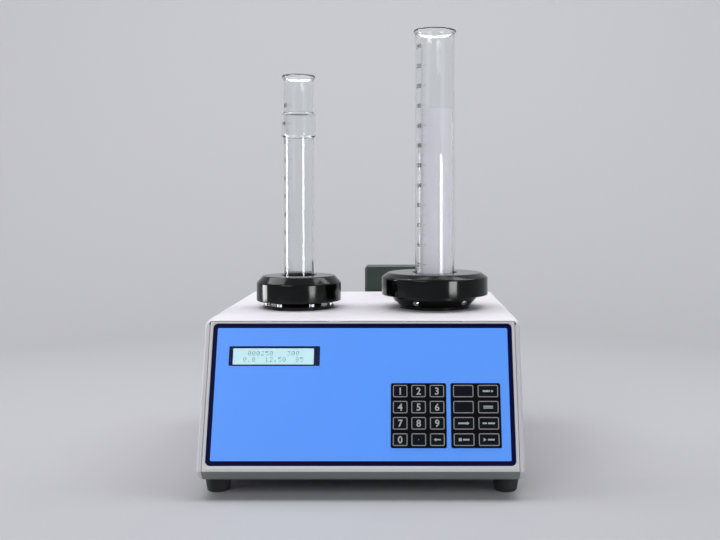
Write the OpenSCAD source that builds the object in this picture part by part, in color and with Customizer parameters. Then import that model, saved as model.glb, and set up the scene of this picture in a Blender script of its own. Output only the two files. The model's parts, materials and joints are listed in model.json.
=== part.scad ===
// Bulk density tester with two tapping stations, as an assembly of separate pieces.
// Millimetres, +Z up, the bench at z = 0, the front face towards -Y.
// A gear motor turns a camshaft. Its two drop cams lift the spindles that carry the measuring cylinders.

/* [Case] */
// Width of the case
case_w = 283; // [275:1:310]
// Depth of the flat deck
deck_d = 262; // [250:1:300]
// Height of the deck above the bench
deck_z = 150; // [146:1:165]
// Height of the edge where the sloping face starts
front_edge_z = 24; // [22:1:27]
// Lean of the front face from upright, in degrees
face_tilt = 19; // [15:1:22]
// Thickness of the sheet metal
sheet_t = 2; // [1.5:0.1:2.5]
// Radius along the deck's side and rear edges
edge_r = 6; // [4:0.5:9]
// Radius where the deck turns down to the face
front_r = 4; // [3:0.5:6]
// Radius of the upright rear corners
corner_r = 12; // [9:1:16]
// Width of the lip at each side of the front opening
lip_w = 4.5; // [4:0.1:6]
// Height of the lip above the front opening
top_lip = 2.1; // [1.5:0.1:3]
// How far the underside of the nose runs back
nose_run = 8; // [6:1:11]
// Open seam between the cover and the bezel
seam = 0.4; // [0.3:0.1:0.8]

/* [Feet] */
// Height of a rubber foot
foot_h = 15; // [11:1:17]
// Diameter of a foot where it meets the case
foot_d = 24; // [20:1:26]
// Diameter of a foot at the bench
foot_tip_d = 20; // [16:1:20]
// Distance from the side of the case to a foot's centre
foot_inset = 14; // [13:0.5:18]
// Distance from the front and the back of the case to a foot's centre
foot_inset_y = 30; // [26:1:45]

/* [Front panel] */
// Thickness of the bezel
bezel_t = 6; // [5:0.5:8]
// Width of the bezel beside the panel
bezel_side = 2.85; // [2:0.05:4]
// Width of the bezel above the panel
bezel_top = 1.85; // [1.5:0.05:3]
// Width of the bezel below the panel
bezel_bottom = 5; // [4:0.1:7]
// Width of the ledge behind the panel that carries it
ledge_w = 6; // [4:0.5:8]
// Thickness of the panel plate
plate_t = 1.5; // [1.2:0.1:2]
// How far the plate lies below the bezel's face
plate_sink = 0.7; // [0.6:0.1:1.2]
// Thickness of the printed overlay
overlay_t = 0.4; // [0.3:0.1:0.6]
// Width of the dark border that shows round the overlay
border_w = 4; // [3:0.5:6]
// Radius of the panel's corners
panel_r = 4; // [3:0.5:6]

/* [Display] */
// Width of the display window
window_w = 81; // [76:1:90]
// Height of the display window
window_h = 17.7; // [16:0.1:22]
// Distance from the overlay's left edge to the window
window_left = 11.2; // [8:0.2:16]
// Distance from the overlay's top edge to the window
window_top = 16.3; // [12:0.1:24]
// Width of the lit screen
screen_w = 72; // [66:1:76]
// Height of the lit screen
screen_h = 14.4; // [13:0.1:16]
// Shift of the screen from the middle of the window
screen_shift = -1.2; // [-2:0.1:2]
// Overlap of the overlay on the lens behind it
lens_lap = 1; // [0.6:0.1:2]
// Thickness of the display module
module_t = 8; // [6:0.5:12]

/* [Keys] */
// Height of a key
key_h = 11.2; // [10:0.1:12]
// Distance between rows of keys
key_pitch = 13.9; // [13.6:0.1:15]
// Width of a number key
number_key_w = 13.2; // [12:0.1:14]
// Distance between columns of number keys
number_pitch = 16.1; // [15.8:0.1:18]
// Width of a function key
function_key_w = 18.4; // [16:0.1:19]
// Distance between columns of function keys
function_pitch = 21.7; // [21:0.1:24]
// Gap between the two keypads
pad_gap = 4.2; // [3:0.1:6]
// Distance from the overlay's right edge to the keypads
pad_right = 8; // [6:0.5:12]
// Distance from the overlay's bottom edge to the keypads
pad_bottom = 11; // [8:0.5:15]
// Radius of a key's corners
key_r = 1.6; // [1:0.1:2.5]
// How far a key stands above the bezel's face
key_proud = 0.9; // [0.7:0.1:1.5]
// How far a key travels when pressed
key_travel = 0.5; // [0.3:0.1:0.6]

/* [Stations] */
// Distance between the two stations
station_gap = 136; // [132:1:150]
// Distance from the front of the deck to the stations
station_back = 97; // [85:1:110]
// Number of screws that hold each flange
flange_screw_count = 6; // [4:1:8]
// Distance from the circle of the flange screws to the flange's edge
flange_rim = 4; // [3.5:0.1:4.8]
// Thickness of the flange
flange_t = 3; // [2.5:0.1:3.4]
// Distance from the circle of the flange screws to the guide housing below
housing_rim = 3; // [2.4:0.1:3.5]
// How far the guide housing hangs below the deck
housing_drop = 46; // [38:1:48]
// Diameter of the lift spindle
spindle_d = 16; // [12:1:20]
// Diameter of the spigot that carries the platform
spigot_d = 10; // [8:1:11]
// Diameter of the pin that keeps the spindle from turning
pin_d = 6; // [5:0.5:8]
// Distance from the spindle to the guide pin
pin_offset = 20; // [18:1:22]
// Thickness of the tappet shoe
shoe_t = 12; // [9:1:13]
// Breadth of the tappet shoe
shoe_w = 26; // [22:1:30]
// Room between the flange screws' heads and the large platform's skirt
screw_room = 0.85; // [0.5:0.05:1.2]

/* [Holders] */
// Diameter of the small clamp ring
small_ring_d = 84; // [82:1:92]
// Height of the small ring's underside above the deck
small_ring_lift = 7; // [7:0.5:10]
// Height of the small clamp ring
small_ring_h = 25; // [24:1:30]
// Height of the small ring's bevel
small_bevel_h = 7; // [4:0.5:8]
// Diameter of the small platform inside its ring
small_plate_d = 66; // [62:1:70]
// Diameter of the large clamp ring
large_ring_d = 106; // [100:1:112]
// Height of the large ring's underside above the deck
large_ring_lift = 13; // [12:0.5:15]
// Height of the large clamp ring
large_ring_h = 22; // [21:1:27]
// Height of the large ring's bevel
large_bevel_h = 4.4; // [3:0.2:7]
// Diameter of the large platform inside its ring
large_plate_d = 84; // [80:1:86]
// Diameter of the large platform at its foot
large_base_d = 72; // [72:1:78]
// Thickness of the skirt under the large platform
skirt_t = 1.4; // [1:0.1:2]
// Height of the flare at the large platform's foot
cone_h = 6.5; // [5:0.5:7]
// Width of the bevel on both rings
bevel_w = 6.5; // [4:0.5:8]
// Thickness of the rings' inward cap
cap_t = 8.5; // [6:0.5:9]
// Diameter of the hub that rests on the flange
hub_d = 45; // [40:1:46]
// Number of screws round the large platform
platform_screws = 5; // [4:1:8]
// Turn of the first of these screws, seen from above
platform_screw_turn = -118.5; // [-135:0.5:-90]

/* [Cylinders] */
// Outside diameter of the small cylinder
small_od = 29.6; // [26:0.2:32]
// Height of the small cylinder's rim above the deck
small_rim_h = 231; // [200:1:250]
// Outside diameter of the large cylinder
large_od = 39; // [36:0.5:42]
// Height of the large cylinder's rim above the deck
large_rim_h = 276; // [255:1:290]
// Thickness of the glass
glass_t = 1.5; // [1.2:0.1:2]
// Width of the bead round a rim
rim_bead = 1.9; // [1.2:0.1:2.5]
// Side the pouring lips point to, in degrees from the right, 90 is the back
lip_turn = 90; // [0:15:180]
// Distance from the small cylinder's rim down to its guard band
guard_drop = 38; // [20:1:120]
// Height of the guard band
guard_h = 23; // [12:1:30]
// Thickness the guard band adds to the small cylinder's wall
guard_t = 2; // [0.6:0.1:2.2]
// Height of the slope at each end of the guard band
guard_slope = 1.5; // [0.5:0.1:3]
// Thickness of a cylinder's foot
glass_foot_t = 7.5; // [6:0.5:8]
// Thickness of the glass under the powder
glass_floor_t = 5; // [4:0.5:6]
// Diameter of the small cylinder's foot
small_foot_d = 58; // [50:1:60]
// Diameter of the large cylinder's foot
large_foot_d = 74; // [66:1:77]
// Room between a cylinder and the hole in its ring
ring_room = 2.6; // [2.4:0.1:4]
// Height of the powder's top above the deck
powder_h = 199; // [100:1:230]

/* [Drive] */
// Lift of the platforms
lift = 14; // [8:1:14]
// Turn of the camshaft that makes the whole lift, in degrees
lift_turn = 240; // [200:5:260]
// Radius of the cams where the lift starts
cam_base_r = 14; // [13:0.5:15]
// Thickness of a cam
cam_t = 10; // [8:1:12]
// Height of the camshaft above the bench
cam_z = 55; // [53:1:56]
// Diameter of the camshaft between its bearings
shaft_d = 14; // [13:1:16]
// Diameter of the camshaft in its bearings
journal_d = 12; // [8:1:12]
// Outside diameter of a bearing
bearing_d = 28; // [24:1:30]
// Width of a bearing
bearing_w = 8; // [7:1:10]
// Distance from the middle of the case to a bearing
bearing_x = 98; // [94:1:104]
// Size of the gear teeth
gear_module = 1; // [0.9:0.05:1.1]
// Teeth on the camshaft's gear
gear_teeth = 54; // [48:6:54]
// Teeth on the motor's pinion
pinion_teeth = 18; // [18:6:24]
// Width of the gear
gear_w = 8; // [6:1:8]
// Diameter of the motor's gearhead
motor_d = 37; // [30:1:38]
// Diameter of the motor's shaft
motor_shaft_d = 6; // [5:0.5:6]
// Thickness of the drive frame's plates
frame_t = 4; // [3:0.5:5]

/* [Rear] */
// Width of the supply box
supply_w = 84; // [78:1:90]
// Depth of the supply box
supply_d = 38; // [30:1:50]
// Height of the supply box's top above the deck
supply_rise = 28.5; // [24:0.5:34]
// Height of the supply box's underside above the bench
supply_z = 62; // [58:1:68]
// Sideways place of the supply box
supply_x = 33; // [30:1:38]
// Wall of the supply box
supply_wall = 2.5; // [2:0.1:3]
// Width of the rear panel
rear_panel_w = 212; // [206:1:220]
// Height of the rear panel
rear_panel_h = 96; // [90:1:98]
// Thickness of the rear panel
rear_panel_t = 2; // [1.5:0.1:2.5]
// Thickness of the mains inlet's flange
inlet_flange_t = 3; // [3:0.1:4]
// Tilt of the mains rocker at rest, in degrees
rocker_tilt = 8; // [6:1:8]

/* [Fits] */
// Radial gap of a turning or sliding fit
run_gap = 0.05; // [0.02:0.01:0.1]
// Gap at a face that comes to rest on another
seat_gap = 0.2; // [0.1:0.05:0.3]
// Gap round pieces that only pass through
slip_gap = 0.3; // [0.3:0.05:0.5]

/* [Hidden] */
$fn = 64;
KEYS = [
  ["key_1", 0, 0, 0], ["key_2", 0, 1, 0], ["key_3", 0, 2, 0],
  ["key_4", 0, 0, 1], ["key_5", 0, 1, 1], ["key_6", 0, 2, 1],
  ["key_7", 0, 0, 2], ["key_8", 0, 1, 2], ["key_9", 0, 2, 2],
  ["key_0", 0, 0, 3], ["key_point", 0, 1, 3], ["key_clear", 0, 2, 3],
  ["key_f1", 1, 0, 0], ["key_f2", 1, 1, 0],
  ["key_f3", 1, 0, 1], ["key_f4", 1, 1, 1],
  ["key_f5", 1, 0, 2], ["key_f6", 1, 1, 2],
  ["key_f7", 1, 0, 3], ["key_f8", 1, 1, 3]
];

// Case lines: y runs from the nose's front edge to the rear wall
face_h = deck_z - front_edge_z;
face_run = face_h * tan(face_tilt);
face_l = face_h / cos(face_tilt);
case_d = deck_d + face_run;
front_y = -(case_d + rear_panel_t + supply_d + inlet_flange_t) / 2;
deck_y = front_y + face_run;
back_y = front_y + case_d;
opening_w = case_w - 2 * lip_w;
floor_z = foot_h + sheet_t;
floor_top = floor_z + sheet_t;
rim_flange_w = foot_inset + foot_d / 2 + 2;
tray_rim_h = 12;

// Front panel: v runs up the slope from the nose's edge, w out of the face
bezel_w = opening_w - 2 * seam;
bezel_v1 = face_l - top_lip - seam;
panel_w = bezel_w - 2 * bezel_side;
panel_v0 = bezel_bottom;
panel_h = bezel_v1 - bezel_top - panel_v0;
plate_w1 = -plate_sink;
plate_w0 = plate_w1 - plate_t;
overlay_w = panel_w - 2 * border_w;
overlay_h = panel_h - 2 * border_w;
overlay_v0 = panel_v0 + border_w;
window_x = -overlay_w / 2 + window_left + window_w / 2;
window_v = overlay_v0 + overlay_h - window_top - window_h / 2;
lens_w = window_w + 2 * lens_lap;
lens_h = window_h + 2 * lens_lap;
module_w1 = plate_w0 - seat_gap / 2;
screen_w1 = module_w1 - 0.4;
screen_t = 1.2;

// Keypads: both share one height, and their right edges follow the overlay
function_pad_w = 2 * function_pitch;
number_pad_w = 3 * number_pitch;
pad_h = 4 * key_pitch;
function_x0 = overlay_w / 2 - pad_right - function_pad_w;
number_x0 = function_x0 - pad_gap - number_pad_w;
pad_v0 = overlay_v0 + pad_bottom;
frame_w1 = plate_w1 + overlay_t + 0.4;
key_flange_t = 0.9;
key_flange_w1 = plate_w0 - slip_gap;
board_w1 = key_flange_w1 - key_flange_t - key_travel - slip_gap;
board_t = 1.6;

// Stations: heights above the bench
station_y = deck_y + station_back;
left_x = -station_gap / 2;
right_x = station_gap / 2;
rest_z = deck_z + flange_t + seat_gap;
housing_z = deck_z - housing_drop;
shoe_z = cam_z + cam_base_r + slip_gap;
shoe_top = shoe_z + shoe_t;
pin_z = shoe_z + 1;
screw_head_h = 3;
screw_head_d = 5.5;
flange_bolt_d = 3;
flange_hole_d = 3.3;
well_d = large_base_d - 2 * skirt_t;
flange_screw_circle = well_d - 2 * screw_room - screw_head_d;
flange_d = flange_screw_circle + 2 * flange_rim;
housing_d = flange_screw_circle - 2 * housing_rim;
pin_seat = 24;
shoe_tail = 10;
small_ring_z = deck_z + small_ring_lift;
small_cap_z = small_ring_z + small_ring_h - cap_t;
small_glass_z = small_cap_z - slip_gap - glass_foot_t;
small_plate_top = small_glass_z - seat_gap;
large_ring_z = deck_z + large_ring_lift;
large_cap_z = large_ring_z + large_ring_h - cap_t;
large_glass_z = large_cap_z - slip_gap - glass_foot_t;
large_plate_top = large_glass_z - seat_gap;

// Large platform's flare, and where its screws stand on it, square to its surface
cone_z = rest_z + 0.1;
cone_lean = atan((large_plate_d - large_base_d) / 2 / cone_h);
cone_screw_z = cone_z + cone_h * 0.62;
cone_screw_r = large_base_d / 2 + (cone_screw_z - cone_z) * tan(cone_lean);
cone_bolt_d = 2.4;
cone_bolt_l = 5;
cone_head_d = 6.2;
cone_head_h = 1.2;

// Drive: the cam rises by the same amount for each degree that the shaft turns
lift_per_degree = lift / lift_turn;
lift_arm = lift_per_degree * 180 / PI;
gear_r = gear_module * gear_teeth / 2;
pinion_r = gear_module * pinion_teeth / 2;
motor_y = station_y + gear_r + pinion_r;
motor_face = 13;
motor_head_l = 22;
motor_can_l = 24;
motor_boss_d = 12;
motor_half = motor_d / 2 + 3;
hub_l = 7;
hub_wall = 4.5;
base_front = 26;
base_side = 12;
base_y0 = station_y - base_front;
base_y1 = motor_y + motor_half;
slot_room = 3;
slot_half = 20;

// Rear: the supply box stands on the rear panel's outer face
supply_y = back_y + rear_panel_t;
rear_y = supply_y + supply_d;
supply_top = deck_z + supply_rise;
inlet_z = supply_z + 32;
switch_z = inlet_z + 40;
rear_panel_z = (deck_z + foot_h) / 2 + 5;
port_x = -62;
port_z = rear_panel_z - 22;
vent_z = rear_panel_z + 20;
vent_pitch = 7;
cable_hole_d = 20;
rear_screw_edge = 6;
rear_rim = 12;
inlet_w = 50;
inlet_h = 30;
inlet_body_w = 28;
inlet_body_h = 21;
inlet_depth = 15.5;
inlet_mouth_w = 24.4;
inlet_mouth_h = 16.4;
inlet_mouth_depth = 13;
switch_w = 16.5;
switch_h = 25;
switch_body_w = 13.4;
switch_body_h = 21.4;
rocker_w = 11.5;
rocker_pin_d = 2.4;

// Power supply: a board midway between the drive and the rear wall
supply_board_l = 96;
supply_board_d = 66;
supply_board_x = -112;
supply_board_y = (base_y1 + back_y - sheet_t - supply_board_d) / 2;
pillar_h = 6;
pillar_d = 6;
pillar_inset = 5;
transformer = [44, 38, 34];
capacitor_d = 13;
capacitor_h = 22;
heat_sink = [30, 12, 18];

// Small screws that hold the case
screw_d = 4;
screw_l = 18;
case_head_d = 7.2;
case_head_h = 2.4;
foot_screw_z = 5;

// Points of an arc about c from angle a0 to a1
function arc(c, r, a0, a1, n = 6) =
  [for (i = [0:n]) c + r * [cos(a0 + (a1 - a0) * i / n), sin(a0 + (a1 - a0) * i / n)]];

// Outline of a rectangle with rounded corners
function round_rect(w, h, r, n = 4) = concat(
  arc([w / 2 - r, h / 2 - r], r, 0, 90, n),
  arc([-w / 2 + r, h / 2 - r], r, 90, 180, n),
  arc([-w / 2 + r, -h / 2 + r], r, 180, 270, n),
  arc([w / 2 - r, -h / 2 + r], r, 270, 360, n)
);

// Case seen from the side, moved in by d, as (y, z)
function side_outline(d, bottom) = concat(
  [[front_y + nose_run + d, bottom], [front_y + d / cos(face_tilt), front_edge_z]],
  arc([deck_y + front_r * (1 - sin(face_tilt)) / cos(face_tilt), deck_z - front_r],
    front_r - d, 180 - face_tilt, 90),
  arc([back_y - edge_r, deck_z - edge_r], edge_r - d, 90, 0),
  [[back_y - d, bottom]]
);

// Case seen from the front, moved in by d, as (x, z)
function front_outline(d, bottom) = concat(
  [[-case_w / 2 + d, bottom]],
  arc([-case_w / 2 + edge_r, deck_z - edge_r], edge_r - d, 180, 90),
  arc([case_w / 2 - edge_r, deck_z - edge_r], edge_r - d, 90, 0),
  [[case_w / 2 - d, bottom]]
);

// Case seen from above, moved in by d and starting at y0, as (x, y)
function plan_outline(d, y0) = concat(
  [[-case_w / 2 + d, y0], [case_w / 2 - d, y0]],
  arc([case_w / 2 - corner_r, back_y - corner_r], corner_r - d, 0, 90),
  arc([-case_w / 2 + corner_r, back_y - corner_r], corner_r - d, 90, 180)
);

// Involute tooth: half its width, in degrees, at radius r
function involute(a) = tan(a) * 180 / PI - a;
function tooth_half(r, base_r, pitch_half) =
  r <= base_r ? pitch_half + involute(20) : pitch_half + involute(20) - involute(acos(base_r / r));

// Outline of a spur gear with involute flanks and a little backlash
function gear_outline(teeth, m, backlash = 0.2) =
  let (
    pitch_r = m * teeth / 2,
    base_r = pitch_r * cos(20),
    tip_r = pitch_r + m,
    root_r = pitch_r - 1.25 * m,
    pitch_half = 90 / teeth - backlash / 4 / pitch_r * 180 / PI,
    rs = [root_r, max(base_r, root_r + 0.05), pitch_r - 0.35 * m, pitch_r, pitch_r + 0.5 * m, tip_r]
  )
  [for (t = [0:teeth - 1]) for (side = [-1, 1]) for (i = [0:5])
    let (
      r = side < 0 ? rs[i] : rs[5 - i],
      a = t * 360 / teeth + side * tooth_half(r, base_r, pitch_half)
    )
    r * [cos(a), sin(a)]];

// Outline of a drop cam. The rise is the involute of a circle of radius lift_arm, so a flat shoe
// climbs evenly. Past its tip the cam falls straight back to a smaller circle.
function cam_rise(a) =
  (cam_base_r + lift_per_degree * a) * [sin(a), cos(a)] + lift_arm * [cos(a), -sin(a)];
function cam_outline() = concat(
  [for (a = [0:6:lift_turn]) cam_rise(a)],
  [for (a = [lift_turn + 16:8:348]) (cam_base_r - 2) * [sin(a), cos(a)]]
);

// Frame of the sloping face: x across, y up the slope, z out of it
module on_face() {
  translate([0, front_y, front_edge_z]) rotate([90 - face_tilt, 0, 0]) children();
}

// Plate lying in the face, from w0 to w1
module face_plate(x, v, w0, w1, points) {
  on_face() translate([x, v, w0]) linear_extrude(w1 - w0) polygon(points);
}

// Lays an outline drawn as (y, z) along X from x0, for the length l
module along_x(x0, l) {
  translate([x0, 0, 0]) rotate([90, 0, 90]) linear_extrude(l) children();
}

// Frame on the rear: x to the left as seen from the front, y up, z out
module on_rear(x, y, z) {
  translate([x, y, z]) rotate([90, 0, 180]) children();
}

// Solid of the case, moved in by d
module case_block(d, bottom) {
  intersection() {
    along_x(-case_w / 2 - 1, case_w + 2) polygon(side_outline(d, bottom));
    translate([0, back_y + 1, 0]) rotate([90, 0, 0])
      linear_extrude(case_d + 2) polygon(front_outline(d, bottom - 1));
    translate([0, 0, bottom - 2]) linear_extrude(deck_z) polygon(plan_outline(d, front_y - 1));
  }
}

module at_foot_places() {
  for (x = [-1, 1])
    for (y = [front_y + foot_inset_y, back_y - foot_inset_y])
      translate([x * (case_w / 2 - foot_inset), y, 0]) children();
}

module at_rear_screws() {
  reach_x = rear_panel_w / 2 - rear_screw_edge;
  reach_z = rear_panel_h / 2 - rear_screw_edge;
  for (x = [-reach_x, -35, reach_x])
    for (z = [rear_panel_z - reach_z, rear_panel_z + reach_z])
      on_rear(x, back_y, z) children();
}

module at_flange_screws() {
  for (x = [left_x, right_x])
    for (a = [0:360 / flange_screw_count:359])
      translate([x, station_y, 0]) rotate([0, 0, a])
        translate([flange_screw_circle / 2, 0, 0]) children();
}

// Drill that passes through one sheet of metal
module sheet_hole(d) {
  cylinder(d = d, h = sheet_t + 2, $fn = 24);
}

// Deck, sides and back in one shell, with a lip round the front opening and a flange round the floor
module cover_shell() {
  color("#dddcdf") difference() {
    case_block(0, foot_h);
    case_block(sheet_t, floor_z);
    on_face() translate([-opening_w / 2, -1, -sheet_t - 1.5])
      cube([opening_w, face_l - top_lip + 1, sheet_t + 6]);
    translate([-opening_w / 2, front_y - 1, foot_h - 1])
      cube([opening_w, nose_run + bezel_t + 4, front_edge_z - foot_h + 2]);
    translate([-case_w / 2 + rim_flange_w, front_y, foot_h - 1])
      cube([case_w - 2 * rim_flange_w, case_d - rim_flange_w, sheet_t + 2]);
    for (x = [left_x, right_x])
      translate([x, station_y, deck_z - sheet_t - 1])
        cylinder(d = housing_d + 2 * slip_gap, h = sheet_t + 2);
    at_flange_screws() translate([0, 0, deck_z - sheet_t - 1]) sheet_hole(flange_hole_d);
    at_foot_places() translate([0, 0, foot_h - 1]) sheet_hole(screw_d + 2 * slip_gap);
    translate([0, back_y - sheet_t / 2, rear_panel_z])
      cube([rear_panel_w - 2 * rear_rim, sheet_t + 2, rear_panel_h - 2 * rear_rim], center = true);
    at_rear_screws() translate([0, 0, -sheet_t - 1]) sheet_hole(screw_d + 2 * slip_gap);
  }
}

// Frame round the panel, with the ledge that carries it and the undercut nose
module front_bezel() {
  color("#b9b8bd") difference() {
    union() {
      face_plate(0, bezel_v1 / 2, -bezel_t, 0, round_rect(bezel_w, bezel_v1, 0.6, 2));
      along_x(-bezel_w / 2, bezel_w) polygon([
        [front_y, front_edge_z],
        [front_y + nose_run, foot_h],
        [front_y + nose_run + bezel_t, foot_h],
        [front_y + (bezel_t + 1) / cos(face_tilt), front_edge_z + 4],
        [front_y + 4 * tan(face_tilt), front_edge_z + 4]
      ]);
    }
    face_plate(0, panel_v0 + panel_h / 2, plate_w0, 1,
      round_rect(panel_w + 2 * seat_gap, panel_h + 2 * seat_gap, panel_r + seat_gap));
    face_plate(0, panel_v0 + panel_h / 2, -bezel_t - 3, 1,
      round_rect(panel_w - 2 * ledge_w, panel_h - 2 * ledge_w, panel_r));
  }
}

// Floor pan that rests on the cover's flange, with turned-up edges
module base_tray() {
  tray_y = front_y + nose_run + bezel_t + 2;
  color("#c4c5c8") difference() {
    translate([0, 0, floor_z]) linear_extrude(sheet_t + tray_rim_h)
      polygon(plan_outline(sheet_t + slip_gap, tray_y));
    translate([0, 0, floor_top]) linear_extrude(tray_rim_h + 2)
      polygon(plan_outline(2 * sheet_t + slip_gap, tray_y - 1));
    at_foot_places() translate([0, 0, floor_z - 1]) sheet_hole(screw_d + 2 * run_gap);
  }
}

// Plate that closes the rear opening, with vents and the openings for the port and the cable
module rear_panel() {
  color("#c9cacc") difference() {
    on_rear(0, back_y, rear_panel_z) linear_extrude(rear_panel_t)
      polygon(round_rect(rear_panel_w, rear_panel_h, 3));
    for (i = [-3:3])
      on_rear(port_x + vent_pitch * i, back_y, vent_z) translate([0, 0, -1])
        linear_extrude(rear_panel_t + 2) polygon(round_rect(3, 26, 1.2, 3));
    on_rear(port_x, back_y, port_z) translate([0, 0, -1])
      linear_extrude(rear_panel_t + 2) polygon(round_rect(18 + 2 * slip_gap, 9 + 2 * slip_gap, 1));
    on_rear(supply_x, back_y, inlet_z) translate([0, 0, -1])
      cylinder(d = cable_hole_d, h = rear_panel_t + 2);
    at_rear_screws() translate([0, 0, -1])
      cylinder(d = screw_d + 2 * run_gap, h = rear_panel_t + 2, $fn = 24);
  }
}

module rubber_feet() {
  color("#1c1c1e") at_foot_places() difference() {
    rotate_extrude() polygon([
      [0, 0], [foot_tip_d / 2 - 1, 0], [foot_tip_d / 2, 1],
      [foot_d / 2, foot_h - 2], [foot_d / 2, foot_h], [0, foot_h]
    ]);
    translate([0, 0, -1]) cylinder(d = case_head_d + 1, h = foot_screw_z + 1);
    cylinder(d = screw_d + 2 * run_gap, h = foot_h + 1, $fn = 24);
  }
}

// Pan-head screw with its head below z = 0 and its shank above
module case_screw() {
  difference() {
    union() {
      translate([0, 0, -case_head_h])
        cylinder(d1 = case_head_d - 1.6, d2 = case_head_d, h = case_head_h, $fn = 32);
      cylinder(d = screw_d - 2 * run_gap, h = screw_l, $fn = 24);
    }
    for (a = [0, 90])
      rotate([0, 0, a]) translate([-2, -0.45, -case_head_h - 1]) cube([4, 0.9, 2.2]);
  }
}

module case_screws() {
  color("#a9abb0") {
    at_foot_places() translate([0, 0, foot_screw_z]) case_screw();
    at_rear_screws() translate([0, 0, rear_panel_t]) rotate([180, 0, 0]) case_screw();
  }
}

function key_x(k) = k[1] == 0
  ? number_x0 + (k[2] + 0.5) * number_pitch : function_x0 + (k[2] + 0.5) * function_pitch;
function key_v(k) = pad_v0 + (3.5 - k[3]) * key_pitch;
function key_w(k) = k[1] == 0 ? number_key_w : function_key_w;
function key_flange(k) = [(k[1] == 0 ? number_pitch : function_pitch) - slip_gap, key_pitch - slip_gap];

// Openings that the keys move in, from w0 to w1
module key_holes(w0, w1) {
  for (k = KEYS)
    face_plate(key_x(k), key_v(k), w0, w1,
      round_rect(key_w(k) + 2 * slip_gap, key_h + 2 * slip_gap, key_r + slip_gap, 3));
}

module panel_plate() {
  color("#11143f") difference() {
    face_plate(0, panel_v0 + panel_h / 2, plate_w0, plate_w1, round_rect(panel_w, panel_h, panel_r));
    face_plate(window_x, window_v, plate_w0 - 1, plate_w1 + 1,
      round_rect(lens_w + 2 * seat_gap, lens_h + 2 * seat_gap, 1));
    key_holes(plate_w0 - 1, plate_w1 + 1);
  }
}

module panel_overlay() {
  color("#4f8ef2") difference() {
    face_plate(0, overlay_v0 + overlay_h / 2, plate_w1, plate_w1 + overlay_t,
      round_rect(overlay_w, overlay_h, 1));
    face_plate(window_x, window_v, plate_w1 - 1, plate_w1 + 2, round_rect(window_w, window_h, 1));
    face_plate(number_x0 + number_pad_w / 2, pad_v0 + pad_h / 2, plate_w1 - 1, plate_w1 + 2,
      round_rect(number_pad_w + 2 * seat_gap, pad_h + 2 * seat_gap, 1.5));
    face_plate(function_x0 + function_pad_w / 2, pad_v0 + pad_h / 2, plate_w1 - 1, plate_w1 + 2,
      round_rect(function_pad_w + 2 * seat_gap, pad_h + 2 * seat_gap, 1.5));
  }
}

module display_lens() {
  color("#cfe9f2", 0.4)
    face_plate(window_x, window_v, plate_w0, plate_w1, round_rect(lens_w, lens_h, 0.8));
}

module display_screen() {
  color("#cdeef5")
    face_plate(window_x + screen_shift, window_v, screen_w1 - screen_t, screen_w1,
      round_rect(screen_w, screen_h, 0.5));
}

module display_module() {
  color("#15182e") difference() {
    face_plate(window_x, window_v, module_w1 - module_t, module_w1, round_rect(lens_w + 8, lens_h + 14, 1));
    face_plate(window_x + screen_shift, window_v, screen_w1 - screen_t, module_w1 + 1,
      round_rect(screen_w + seat_gap, screen_h + seat_gap, 0.6));
  }
}

module keypad_frames() {
  color("#0d0e16") difference() {
    union() {
      face_plate(number_x0 + number_pad_w / 2, pad_v0 + pad_h / 2, plate_w1, frame_w1,
        round_rect(number_pad_w, pad_h, 1.3));
      face_plate(function_x0 + function_pad_w / 2, pad_v0 + pad_h / 2, plate_w1, frame_w1,
        round_rect(function_pad_w, pad_h, 1.3));
    }
    key_holes(plate_w1 - 1, frame_w1 + 1);
  }
}

// Key cap with a raised rim, and a flange behind the plate that keeps it in
module key_cap(k) {
  color("#15172b") difference() {
    union() {
      face_plate(key_x(k), key_v(k), key_flange_w1 - key_flange_t, key_proud,
        round_rect(key_w(k), key_h, key_r, 3));
      face_plate(key_x(k), key_v(k), key_flange_w1 - key_flange_t, key_flange_w1,
        round_rect(key_flange(k)[0], key_flange(k)[1], key_r, 3));
    }
    face_plate(key_x(k), key_v(k), key_proud - 0.25, key_proud + 1,
      round_rect(key_w(k) - 2, key_h - 2, max(key_r - 1, 0.4), 3));
  }
}

// Board behind the keys, on posts that stand against the plate
module control_board() {
  board_x0 = number_x0 - 3;
  board_x1 = function_x0 + function_pad_w + 3;
  board_cx = (board_x0 + board_x1) / 2;
  color("#1f6b3a") {
    face_plate(board_cx, pad_v0 + pad_h / 2, board_w1 - board_t, board_w1,
      round_rect(board_x1 - board_x0, pad_h + 8, 1));
    for (x = [board_x0 + 2, number_x0 + number_pad_w + pad_gap / 2, board_x1 - 2])
      for (v = [pad_v0 - 1.6, pad_v0 + pad_h + 1.6])
        on_face() translate([x, v, board_w1 - 0.5])
          cylinder(d = 3, h = plate_w0 - board_w1 + 0.5, $fn = 24);
    face_plate(board_cx, pad_v0 + pad_h / 2, board_w1 - board_t - 7, board_w1 - board_t + 0.3,
      round_rect(40, 9, 0.6));
  }
}

// Board with its transformer, on pillars that stand on the floor
module power_supply() {
  parts_z = pillar_h + board_t - 0.6;
  far_x = supply_board_l - pillar_inset;
  far_y = supply_board_d - pillar_inset;
  color("#2a5f3c") translate([supply_board_x, supply_board_y, floor_top]) {
    translate([0, 0, pillar_h]) cube([supply_board_l, supply_board_d, board_t]);
    for (x = [pillar_inset, far_x])
      for (y = [pillar_inset, far_y])
        translate([x, y, 0]) cylinder(d = pillar_d, h = pillar_h + 0.5, $fn = 32);
    translate([8, 14, parts_z]) cube(transformer);
    for (i = [0, 1])
      translate([transformer[0] + 22 + i * (capacitor_d + 3), 22, parts_z])
        cylinder(d = capacitor_d, h = capacitor_h);
    translate([transformer[0] + 16, 40, parts_z]) cube(heat_sink);
  }
}

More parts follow.
